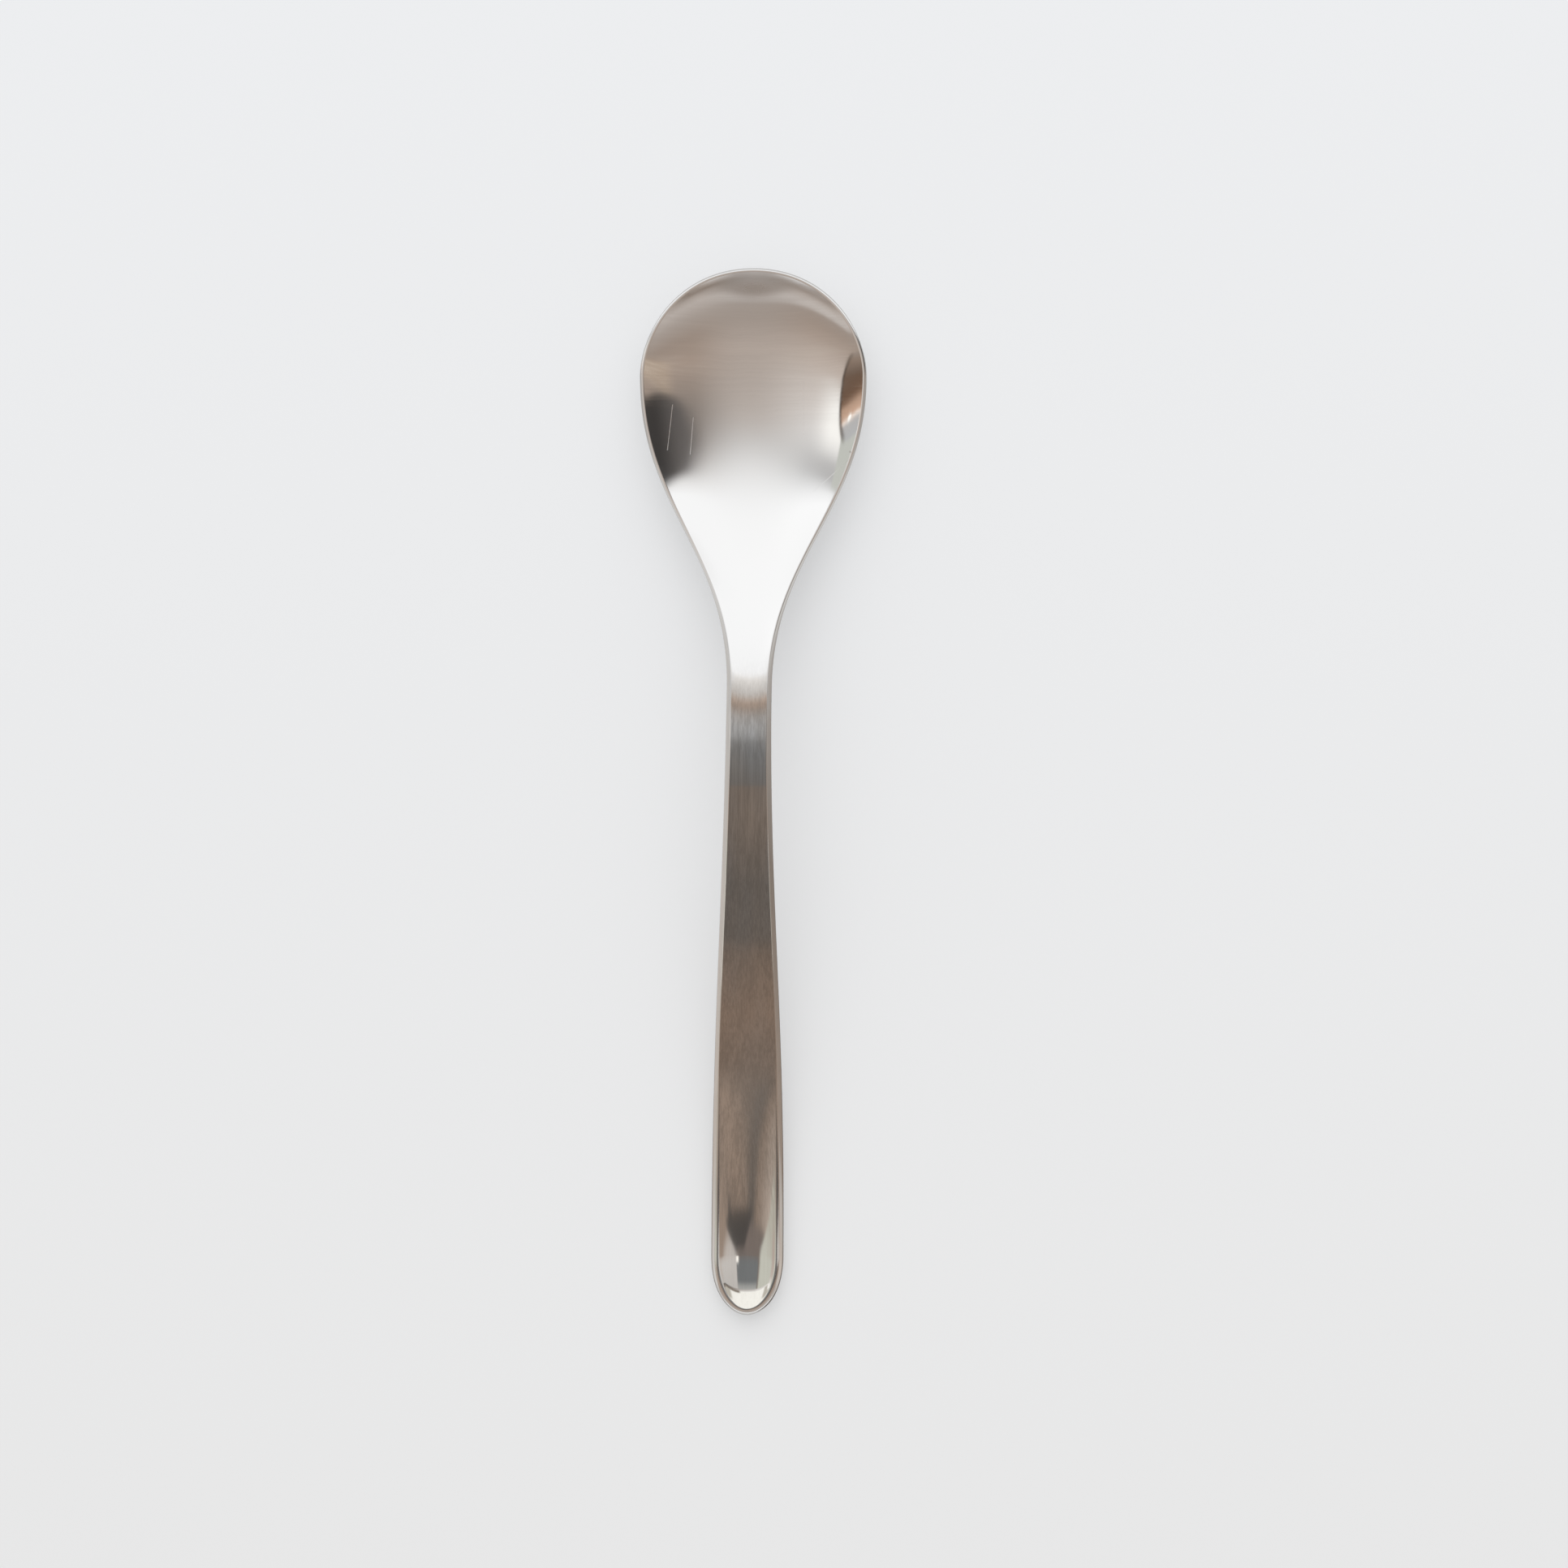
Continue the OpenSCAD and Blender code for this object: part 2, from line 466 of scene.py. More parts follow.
    def height(self, across: Field, y: Field) -> Field:
        """Returns the height of the middle of the stock inside the outline.

        Args:
            across: Distance from the middle line.
            y: The frame's own y.

        Returns:
            The height above the table.
        """
        tree = self.tree
        along = self.half_length - y
        crown_at, crown = self.size("crown_at"), self.size("crown_height")
        low_at = self.size("bowl_low_at")
        after_crown = along > crown_at
        arch = tree.mix(crown, self.handle_low, tree.ramp(along, crown_at, self.rest_at))
        hollow = self.size("hollow_depth") * tree.ramp(along, self.hollow_from, self.rest_at)
        climb = tree.ramp(along, self.size("rim_climb_at"), crown_at)
        front_rim = tree.mix(self.rim_level, crown, climb)
        rim = tree.mix(front_rim, arch + hollow, after_crown)
        front_wall = self.wall(tree.math("MAXIMUM", (low_at - along) / low_at, 0.0))
        shoulder = tree.ramp(along, low_at, crown_at)
        front_keel = tree.mix(self.bowl_low, crown, shoulder) + front_wall * self.size("bowl_depth")
        end_share = tree.math("MAXIMUM", (along - self.rest_at) / self.size("rest_back"), 0.0)
        end_keel = arch + self.wall(end_share) * self.size("hollow_depth")
        keel = tree.mix(front_keel, end_keel, after_crown)
        return keel + (rim - keel) * self.wall(across / self.half_width(y))

    def loft_sheet(self) -> Field:
        """Lofts the sheet in the middle of the stock, all the way round.

        Returns:
            The sheet, with its seats, upright and outward directions and edge radii stored.
        """
        tree = self.tree
        half_rows = SPANS * self.rows_a_span
        inputs = {"Vertices X": 2 * half_rows + 1, "Vertices Y": self.bands + 1}
        grid = tree.call("GeometryNodeMeshGrid", inputs)
        index = tree.call("GeometryNodeInputIndex", {})
        row = tree.math("FLOOR", (index + 0.5) / (self.bands + 1.0))
        band = (index - row * (self.bands + 1.0)) / float(self.bands)
        side = tree.math("SIGN", row - float(half_rows))
        from_tip = tree.math("ABSOLUTE", row - float(half_rows)) / float(self.rows_a_span)
        span = tree.math("MINIMUM", tree.math("FLOOR", from_tip), SPANS - 1.0)
        share = from_tip - span
        inside = (from_tip > 0.0) * (from_tip < float(SPANS))
        place, heading = self.sample_outline(span, share)
        heading_x, heading_y, _ = tree.parts(heading)
        outward = tree.vector_math("NORMALIZE", tree.vector(heading_y * -1.0 * inside, heading_x))
        stock = self.stock(self.half_length - tree.parts(place)[1])
        edge_radius = stock / (tree.math("COSINE", self.size("edge_break")) * 2.0)
        centre = tree.vector_math("SUBTRACT", place, tree.scaled(outward, edge_radius))
        centre_x, centre_y, _ = tree.parts(centre)
        fan = self.size("fan_share")
        front_fan = fan * self.size("bowl_low_at")
        end_fan = self.size("length") - fan * self.size("rest_back")
        front_foot = tree.mix(front_fan, self.size("bowl_wide_at"), share)
        end_foot = tree.mix(self.handle_wide_at, end_fan, share)
        foot_y = tree.mix(centre_y, self.half_length - front_foot, span < 0.5)
        foot_y = tree.mix(foot_y, self.half_length - end_foot, span > SPANS - 1.5)
        across = centre_x * band
        y = tree.mix(foot_y, centre_y, band)
        seat = tree.vector(across * side, y, self.height(across, y))
        sheet = tree.call("GeometryNodeSetPosition", {"Geometry": grid, "Position": seat})
        mirrored = tree.vector_math("MULTIPLY", outward, tree.vector(side, 1.0, 1.0))
        sheet = self.store(sheet, "outward", mirrored, Kind.VECTOR)
        sheet = self.store(sheet, "edge_radius", edge_radius, Kind.NUMBER)
        sheet = tree.call("GeometryNodeMergeByDistance", {"Geometry": sheet, "Distance": self.weld})
        normal = tree.call("GeometryNodeInputNormal", {})
        sheet = self.store(sheet, "upright", normal, Kind.VECTOR)
        position = tree.call("GeometryNodeInputPosition", {})
        return self.store(sheet, "seat", position, Kind.VECTOR)

    def sample_outline(self, span: Field, share: Field) -> tuple[Field, Field]:
        """Finds a point of the outline.

        Args:
            span: Number of the span, from the tip.
            share: How far along that span the point lies.

        Returns:
            The point and the outline's heading there.
        """
        tree = self.tree
        switches = []
        for output in ("Position", "Tangent"):
            switch = tree.node("GeometryNodeIndexSwitch", data_type="VECTOR")
            while len(switch.index_switch_items) < SPANS:
                switch.index_switch_items.new()
            tree.feed(switch.inputs["Index"], span)
            switches.append(switch)
        for i, curve in enumerate(self.curves):
            sample = tree.node("GeometryNodeSampleCurve", mode="FACTOR")
            tree.feed(sample.inputs["Curves"], curve)
            tree.feed(sample.inputs["Factor"], share)
            for switch, output in zip(switches, ("Position", "Tangent")):
                tree.feed(switch.inputs[str(i)], sample.outputs[output])
        place, heading = (Field(tree, switch.outputs[0]) for switch in switches)
        return place, heading

    def store(self, geometry: Field, name: str, value: Value, kind: Kind,
              selection: Field | None = None) -> Field:
        """Stores a named value on the points of a mesh.

        Args:
            geometry: The mesh.
            name: The attribute's name.
            value: What to store.
            kind: The kind of value.
            selection: The points to store it on, or None for all.

        Returns:
            The mesh with the attribute.
        """
        inputs = {"Geometry": geometry, "Name": name, "Value": value}
        if selection:
            inputs["Selection"] = selection
        node = "GeometryNodeStoreNamedAttribute"
        return self.tree.call(node, inputs, data_type=kind.value, domain="POINT")

    def stored(self, name: str, kind: Kind) -> Field:
        """Returns a named value that was stored on the mesh."""
        node = "GeometryNodeInputNamedAttribute"
        return self.tree.call(node, {"Name": name}, "Attribute", data_type=kind.value)

    def close_skin(self, sheet: Field) -> Field:
        """Parts the sheet into inner face and underside and sweeps the ground edge round them.

        Args:
            sheet: The sheet in the middle of the stock.

        Returns:
            The closed skin.
        """
        tree = self.tree
        upright = self.stored("upright", Kind.VECTOR)
        outward = self.stored("outward", Kind.VECTOR)
        radius = self.stored("edge_radius", Kind.NUMBER)
        seat = self.stored("seat", Kind.VECTOR)
        position = tree.call("GeometryNodeInputPosition", {})
        y = tree.parts(position)[1]
        up_offset = tree.scaled(upright, self.stock(self.half_length - y) * 0.5)
        half_at_seat = self.stock(self.half_length - tree.parts(seat)[1]) * 0.5
        faces = []
        for turn in (1.0, -1.0):
            inputs = {"Geometry": sheet, "Offset": tree.scaled(up_offset, turn)}
            faces.append(tree.call("GeometryNodeSetPosition", inputs))
        inner, under = faces
        inner = self.store(inner, "inner_face", 1.0, Kind.NUMBER)
        under = tree.call("GeometryNodeFlipFaces", {"Mesh": under})
        leaning = tree.scaled(upright, tree.dot(outward, upright))
        out = tree.vector_math("NORMALIZE", tree.vector_math("SUBTRACT", outward, leaning))
        neighbours = tree.call("GeometryNodeInputMeshEdgeNeighbors", {})
        rim = tree.math("COMPARE", neighbours, 1.0, 0.5)
        start = self.size("edge_break")
        sweep = math.pi - 2.0 * start
        reach = tree.scaled(out, radius * tree.math("SINE", start) * self.break_share)
        lift = tree.scaled(upright, half_at_seat)
        target = tree.vector_math("ADD", seat, tree.vector_math("ADD", reach, lift))
        skin, rim = self.extrude_rim(inner, rim, target)
        for k in range(self.edge_steps + 1):
            angle = start + sweep * (k / self.edge_steps)
            sine, cosine = tree.math("SINE", angle), tree.math("COSINE", angle)
            arm = tree.vector_math("ADD", tree.scaled(out, sine), tree.scaled(upright, cosine))
            target = tree.vector_math("ADD", seat, tree.scaled(arm, radius))
            skin, rim = self.extrude_rim(skin, rim, target)
            skin = self.store(skin, "ground_edge", 1.0, Kind.NUMBER, rim)
        target = tree.vector_math("SUBTRACT", seat, lift)
        skin, _ = self.extrude_rim(skin, rim, target)
        joined = tree.node("GeometryNodeJoinGeometry")
        for part in (skin, under):
            tree.feed(joined.inputs[0], part)
        inputs = {"Geometry": joined.outputs[0], "Distance": self.weld}
        return tree.call("GeometryNodeMergeByDistance", inputs)

    def extrude_rim(self, skin: Field, rim: Field, target: Field) -> tuple[Field, Field]:
        """Adds one ring of faces to the skin's open rim.

        Args:
            skin: The skin so far.
            rim: The edges of its open rim.
            target: Where the new ring's points go.

        Returns:
            The longer skin and its new rim.
        """
        tree = self.tree
        made = tree.node("GeometryNodeExtrudeMesh", mode="EDGES")
        for name, value in {"Mesh": skin, "Selection": rim, "Offset Scale": 0.0}.items():
            tree.feed(made.inputs[name], value)
        top = Field(tree, made.outputs["Top"])
        inputs = {"Geometry": made.outputs["Mesh"], "Selection": top, "Position": target}
        return tree.call("GeometryNodeSetPosition", inputs), top


# The part of a tone's warmth that lifts its red. The rest lowers its blue.
RED_PART = 0.55


@dataclass(frozen=True)
class Tone:
    """A tone at a place on a scale from -1 to 1: its brightness, and its red over its blue."""

    place: float
    level: float
    warmth: float = 1.0

    def colour(self) -> Colour:
        """Returns the tone as red, green and blue."""
        red, blue = self.warmth ** RED_PART, self.warmth ** (RED_PART - 1.0)
        return (self.level * red, self.level, self.level * blue)


Tones = tuple[Tone, ...]
Row = tuple[float, float, float]


def tones(*rows: Row) -> Tones:
    """Returns tones from rows of place, level and warmth."""
    return tuple(Tone(*row) for row in rows)


@dataclass(frozen=True)
class Edge:
    """A soft edge, over which a mask rises from 0 to 1, or falls from 1 to 0."""

    start: float
    stop: float
    falling: bool = False
    rise: Rise = Rise.SOFT

    def mask(self, value: Field) -> Field:
        """Returns the mask at a value."""
        up = value.tree.ramp(value, self.start, self.stop, self.rise)
        return 1.0 - up if self.falling else up


@dataclass(frozen=True)
class Band:
    """A band between two values, whose sides are soft by its blur both ways."""

    low: float
    high: float
    blur: float

    def mask(self, value: Field) -> Field:
        """Returns 1 inside the band and 0 outside it."""
        high = Edge(self.high - self.blur, self.high + self.blur, falling=True)
        return Edge(self.low - self.blur, self.low + self.blur).mask(value) * high.mask(value)


Mask = Edge | Band


@dataclass(frozen=True)
class Oval:
    """An oval with its middle and its radii on two axes."""

    middle: tuple[float, float]
    radii: tuple[float, float]

    def out(self, x: Field, y: Field) -> Field:
        """Returns how far out a place lies: 0 in the middle and 1 on the oval."""
        places = [(v - at) / radius for v, at, radius in zip((x, y), self.middle, self.radii)]
        return x.tree.length(x.tree.vector(*places))


@dataclass(frozen=True)
class Patch:
    """A patch of one colour between soft edges on two axes."""

    across: Mask
    along: Mask
    colour: Colour
    share: float = 1.0

    def lay(self, base: Field | Colour, x: Field, y: Field) -> Field:
        """Returns the base colour with the patch laid over it."""
        share = self.across.mask(x) * self.along.mask(y) * self.share
        return x.tree.colour_mix(base, self.colour, share)


def new_material(name: str) -> tuple[bpy.types.Material, Tree]:
    """Starts a material that holds no nodes yet.

    Args:
        name: The material's name.

    Returns:
        The material and the tree to write in.
    """
    material = bpy.data.materials.new(name)
    material.use_nodes = True
    material.node_tree.nodes.clear()
    return material, Tree(material.node_tree)


def new_sheet(name: str, corners: list[Row], faces: list[tuple[int, ...]],
              material: bpy.types.Material) -> bpy.types.Object:
    """Adds a flat-faced stage piece to the scene.

    Args:
        name: The piece's name.
        corners: Its corners.
        faces: The corners of each face.
        material: What it is made of.

    Returns:
        The piece's object.
    """
    mesh = bpy.data.meshes.new(name)
    mesh.from_pydata(corners, [], faces)
    mesh.materials.append(material)
    sheet = bpy.data.objects.new(name, mesh)
    bpy.context.scene.collection.objects.link(sheet)
    return sheet


@dataclass(frozen=True)
class Scratch:
    """One hairline scratch: its two ends on the table in metres, its width and its strength."""

    start: tuple[float, float]
    end: tuple[float, float]
    width: float = 0.09 * MM
    strength: float = 1.0

    def mask(self, x: Field, y: Field) -> Field:
        """Finds the scratch on the steel.

        Args:
            x: The place's x.
            y: The place's y.

        Returns:
            The scratch's strength on its line, fading to 0 at its width.
        """
        tree = x.tree
        run, rise = self.end[0] - self.start[0], self.end[1] - self.start[1]
        dx, dy = x - self.start[0], y - self.start[1]
        along = dx * run + dy * rise
        share = tree.math("MULTIPLY", along, 1.0 / (run ** 2 + rise ** 2), clamp=True)
        away = tree.length(tree.vector(dx - share * run, dy - share * rise))
        return Edge(0.0, self.width, falling=True).mask(away) * self.strength


SCRATCHES = (
    Scratch((-13.6 * MM, 65.0 * MM), (-14.3 * MM, 57.3 * MM)),
    Scratch((-10.2 * MM, 63.0 * MM), (-10.6 * MM, 56.8 * MM), strength=0.8),
    Scratch((8.3 * MM, 69.3 * MM), (8.3 * MM, 60.3 * MM), strength=0.35),
    Scratch((10.1 * MM, 50.5 * MM), (16.2 * MM, 55.8 * MM), strength=0.3),
    Scratch((16.2 * MM, 57.0 * MM), (16.3 * MM, 56.9 * MM), width=0.22 * MM),
)


@dataclass(frozen=True)
class Grain:
    """Polishing lines: their spacing across and length along, in metres, and how they mix."""

    across: float
    along: float
    roughness: float
    fine_share: float
    broad_scale: float
    contrast: Edge = Edge(0.36, 0.64)

    def lines(self, place: Field) -> Field:
        """Mixes fine and broad lines.

        Args:
            place: The place, divided by the spacing and the length on its axes.

        Returns:
            The lines, 0 to 1.
        """
        tree = place.tree
        fine = tree.noise(place, detail=4.0, roughness=self.roughness)
        broad = tree.noise(tree.scaled(place, self.broad_scale))
        return self.contrast.mask(fine * self.fine_share + broad * (1.0 - self.fine_share))


@dataclass(frozen=True)
class SatinSteel:
    """Stainless steel with a lengthwise grain on the handle and a crosswise one in the bowl.

    Lengths are in metres, and places along the spoon are on the frame's own y. The grain turns
    where the bowl begins. The dull patch at the tip, whose colour also carries a painted dark
    reflection, and the scratches are on the inner face only.
    """

    name: str = "satin_stainless_steel"
    colour: Colour = (0.600, 0.585, 0.565)
    streak_colour: Colour = (0.40, 0.385, 0.365)
    anisotropy: float = 0.5
    ground_edge: Edge = Edge(0.93, 0.99)
    bowl: Edge = Edge(12 * MM, 26 * MM)
    thumb_hollow: Edge = Edge(-76 * MM, -64 * MM, falling=True)
    handle_grain: Grain = Grain(0.28 * MM, 18 * MM, 0.65, 0.65, 0.23)
    bowl_grain: Grain = Grain(0.45 * MM, 14 * MM, 0.6, 0.6, 0.3)
    bowl_grain_from: Edge = Edge(58 * MM, 69 * MM)
    wave_rate: tuple[float, float] = (90.0, 60.0)
    wave_height: float = 2.2 * MM
    handle_contrast: float = 0.7
    bowl_contrast: float = 0.12
    edge_evenness: float = 0.7
    hollow_evenness: float = 0.8
    handle_roughness: float = 0.13
    bowl_roughness: float = 0.20
    wall_roughness: float = 0.085
    wall_middle: float = 62 * MM
    wall_radii: tuple[float, float] = (15 * MM, 21 * MM)
    walls: Edge = Edge(0.15, 1.0)
    hollow_roughness: float = 0.085
    edge_roughness: float = 0.12
    cut_roughness: float = 0.6
    grain_roughness: float = 0.05
    blotch_roughness: float = 0.04
    blotch_scale: float = 90.0
    # A dull patch at the tip of the bowl. Its colour also carries a painted dark reflection.
    dull_tip_and_reflection: Oval = Oval((0.0, 84.5 * MM), (4.2 * MM, 1.4 * MM))
    dull_tip_fade: Edge = Edge(0.0, 1.7, falling=True)
    dull_tip_roughness: float = 0.30
    painted_tip_reflection: Colour = (0.385, 0.345, 0.312)
    painted_tip_reflection_share: float = 0.85
    relief: float = 0.05 * MM
    grain_relief: float = 0.35
    handle_bump: float = 0.07
    bowl_bump: float = 0.012
    scratches: tuple[Scratch, ...] = SCRATCHES

    def build(self) -> bpy.types.Material:
        """Writes the material's node tree.

        Returns:
            The finished material.
        """
        material, tree = new_material(self.name)
        place = tree.call("ShaderNodeTexCoord", {}, "Object")
        x, y, z = tree.parts(place)
        in_bowl = self.bowl.mask(y)
        in_hollow = self.thumb_hollow.mask(y)
        edge = self.ground_edge.mask(tree.attribute("ground_edge"))
        inner = tree.attribute("inner_face")
        cuts = sum(scratch.mask(x, y) for scratch in self.scratches) * inner
        dull_tip_and_reflection = self.dull_tip_fade.mask(self.dull_tip_and_reflection.out(x, y)) * in_bowl * inner
        bowl_lines = self.bowl_lines(x, y, z) * self.bowl_grain_from.mask(y)
        grain = tree.mix(self.handle_lines(x, y, z), bowl_lines, in_bowl)
        grain = grain * (1.0 - in_hollow * self.hollow_evenness)
        shaded = grain * tree.mix(self.handle_contrast, self.bowl_contrast, in_bowl)
        shaded = shaded * (1.0 - edge * self.edge_evenness)
        tone = tree.colour_mix(self.colour, self.streak_colour, shaded)
        # Painted reflection: the tone is darkened over the dull patch at the tip of the bowl.
        tone = tree.colour_mix(tone, self.painted_tip_reflection, dull_tip_and_reflection * self.painted_tip_reflection_share)
        rough = tree.mix(self.handle_roughness, self.bowl_dullness(x, y), in_bowl)
        rough = tree.mix(rough, self.hollow_roughness, in_hollow)
        blotches = tree.noise(place, self.blotch_scale, detail=3.0)
        rough = rough + (grain - 0.5) * self.grain_roughness
        rough = rough + (blotches - 0.5) * self.blotch_roughness
        rough = tree.mix(rough, self.dull_tip_roughness, dull_tip_and_reflection)
        rough = tree.mix(rough, self.edge_roughness, edge)
        rough = tree.mix(rough, self.cut_roughness, tree.math("MINIMUM", cuts, 1.0))
        bumped = tree.call("ShaderNodeBump", {
            "Strength": tree.mix(self.handle_bump, self.bowl_bump, in_bowl),
            "Distance": self.relief,
            "Height": grain * (1.0 - edge) * self.grain_relief - cuts,
        })
        shader = tree.call("ShaderNodeBsdfPrincipled", {
            "Base Color": tone, "Metallic": 1.0, "Roughness": rough, "Normal": bumped,
            "Anisotropic": self.anisotropy, "Tangent": tree.vector(1.0 - in_bowl, in_bowl),
        })
        tree.show(shader)
        return material

    def bowl_dullness(self, x: Field, y: Field) -> Field:
        """Works out the bowl's roughness, which is less on its walls.

        Args:
            x: The place's x.
            y: The place's y.

        Returns:
            The roughness.
        """
        across, along = x / self.wall_radii[0], (y - self.wall_middle) / self.wall_radii[1]
        steep = self.walls.mask(across * across + along * along)
        return x.tree.mix(self.bowl_roughness, self.wall_roughness, steep)

    def handle_lines(self, x: Field, y: Field, z: Field) -> Field:
        """Returns the lengthwise grain, 0 to 1."""
        grain = self.handle_grain
        return grain.lines(x.tree.vector(x / grain.across, y / grain.along, z / grain.across))

    def bowl_lines(self, x: Field, y: Field, z: Field) -> Field:
        """Draws the crosswise, slightly wavy grain.

        Args:
            x: The place's x.
            y: The place's y.
            z: The place's z.

        Returns:
            The lines, 0 to 1.
        """
        tree, grain = x.tree, self.bowl_grain
        wave_place = tree.vector(x * self.wave_rate[0], y * self.wave_rate[1])
        wave = tree.noise(wave_place) * self.wave_height
        return grain.lines(tree.vector(x / grain.along, (y + wave) / grain.across, z / grain.along))


@dataclass(frozen=True)
class Streaks:
    """Thin wavy light lines on the sky's map, brighter and browner on the right."""

    lean: float = 0.06
    wave_rate: float = 9.0
    wave_height: float = 0.012
    stretch: tuple[float, float] = (1.5, 55.0)
    contrast: Edge = Edge(0.48, 0.66)
    band: Band = Band(-0.15, -0.03, 0.03)
    colour: Colour = (0.80, 0.70, 0.60)
    share: float = 0.45
    right_from: Edge = Edge(0.45, 0.62)
    right_band: Band = Band(-0.11, 0.05, 0.02)
    right_colour: Colour = (0.72, 0.56, 0.42)
    right_share: float = 0.6
    right_line_colour: Colour = (1.05, 0.90, 0.74)
    right_line_share: float = 0.9

    def lay(self, sky: Field, p: Field, q: Field) -> Field:
        """Lays the lines over the sky.

        Args:
            sky: The sky's colour.
            p: The place's p on the map.
            q: The place's q on the map.

        Returns:
            The sky's colour with the lines.
        """
        tree = p.tree
        wave = tree.math("SINE", p * self.wave_rate) * self.wave_height
        bent = q - p * self.lean + wave
        place = tree.vector(p * self.stretch[0], bent * self.stretch[1])
        lines = self.contrast.mask(tree.noise(place, detail=3.0, roughness=0.6))
        sky = tree.colour_mix(sky, self.colour, lines * self.band.mask(bent) * self.share)
        right = self.right_from.mask(p) * self.right_band.mask(bent)
        sky = tree.colour_mix(sky, self.right_colour, right * self.right_share)
        return tree.colour_mix(sky, self.right_line_colour, right * lines * self.right_line_share)


@dataclass(frozen=True)
class DarkCorner:
    """The dark furniture on the right of the sky's map. Its inner side leans, then leans back."""

    top_at: float = 0.48
    top_bend: float = 0.6
    top: Edge = Edge(0.066, 0.102)
    foot_lean: float = 0.05
    foot: Edge = Edge(0.221, 0.256, falling=True)
    lean_from: float = 0.117
    lean: float = 0.8
    turn_at: float = 0.2
    turn: float = 1.2
    side: Edge = Edge(0.26, 0.50)
    shading: Edge = Edge(0.42, 0.78)
    inner_colour: Colour = (0.190, 0.172, 0.162)
    outer_colour: Colour = (0.072, 0.066, 0.063)
    share: float = 0.98

    def lay(self, sky: Field, p: Field, q: Field, s: Field) -> Field:
        """Lays the corner over the sky.

        Args:
            sky: The sky's colour.
            p: The place's p on the map.
            q: The place's q on the map.
            s: The place on the sky's scales of tones.

        Returns:
            The sky's colour with the corner.
        """
        tree = p.tree
        off = p - self.top_at
        above = self.top.mask(q - off * off * self.top_bend)
        below = self.foot.mask(s - p * self.foot_lean)
        turned = tree.math("MAXIMUM", q - self.turn_at, 0.0) * self.turn
        lean = (q - self.lean_from) * self.lean - turned
        deep = self.side.mask(p + lean) * above * below
        dark = tree.colour_mix(self.inner_colour, self.outer_colour, self.shading.mask(p))
        return tree.colour_mix(sky, dark, deep * self.share)


@dataclass(frozen=True)
class LampShade:
    """The warm round shade on the left of the sky's map, with a grey wall in front of it."""

    wall: Patch = Patch(
        Edge(-0.73, -0.70, falling=True), Band(0.02, 0.265, 0.015), (0.86, 0.87, 0.80)
    )
    shape: Oval = Oval((-0.85, 0.08), (0.22, 0.225))
    border: Edge = Edge(0.93, 1.0, falling=True)
    along: Tones = tones(
        (-0.12, 0.40, 1.45), (-0.08, 0.33, 1.75), (0.00, 0.215, 1.80), (0.05, 0.165, 2.10),
        (0.12, 0.145, 2.60), (0.14, 0.23, 2.40), (0.155, 0.50, 2.10), (0.195, 0.62, 2.15),
        (0.21, 1.35, 1.30), (0.225, 0.74, 1.05), (0.30, 0.76, 0.99),
    )
    rim: Patch = Patch(Band(0.90, 1.02, 0.04), Edge(-0.80, -0.70), (0.10, 0.07, 0.05), 0.8)
    bulb: Oval = Oval((-0.79, 0.205), (0.03, 0.012))
    bulb_border: Edge = Edge(0.6, 1.0, falling=True)
    bulb_colour: Colour = (2.2, 2.2, 2.1)

    def lay(self, sky: Field, p: Field, q: Field, s: Field) -> Field:
        """Lays the wall and the shade over the sky.

        Args:
            sky: The sky's colour.
            p: The place's p on the map.
            q: The place's q on the map.
            s: The place on the sky's scales of tones.

        Returns:
            The sky's colour with the shade.
        """
        tree = p.tree
        sky = self.wall.lay(sky, p, s)
        out = self.shape.out(p, q)
        sky = tree.colour_mix(sky, tree.tone_scale(q, self.along), self.border.mask(out))
        sky = self.rim.lay(sky, out, p)
        bulb = self.bulb_border.mask(self.bulb.out(p, q))
        return tree.colour_mix(sky, self.bulb_colour, bulb)


# What lies behind the spoon, low on the sky's map
BEHIND = ((-1.00, 0.92, 1.04), (-0.90, 1.02, 1.02), (-0.80, 1.60, 1.00), (-0.73, 1.65, 1.00))


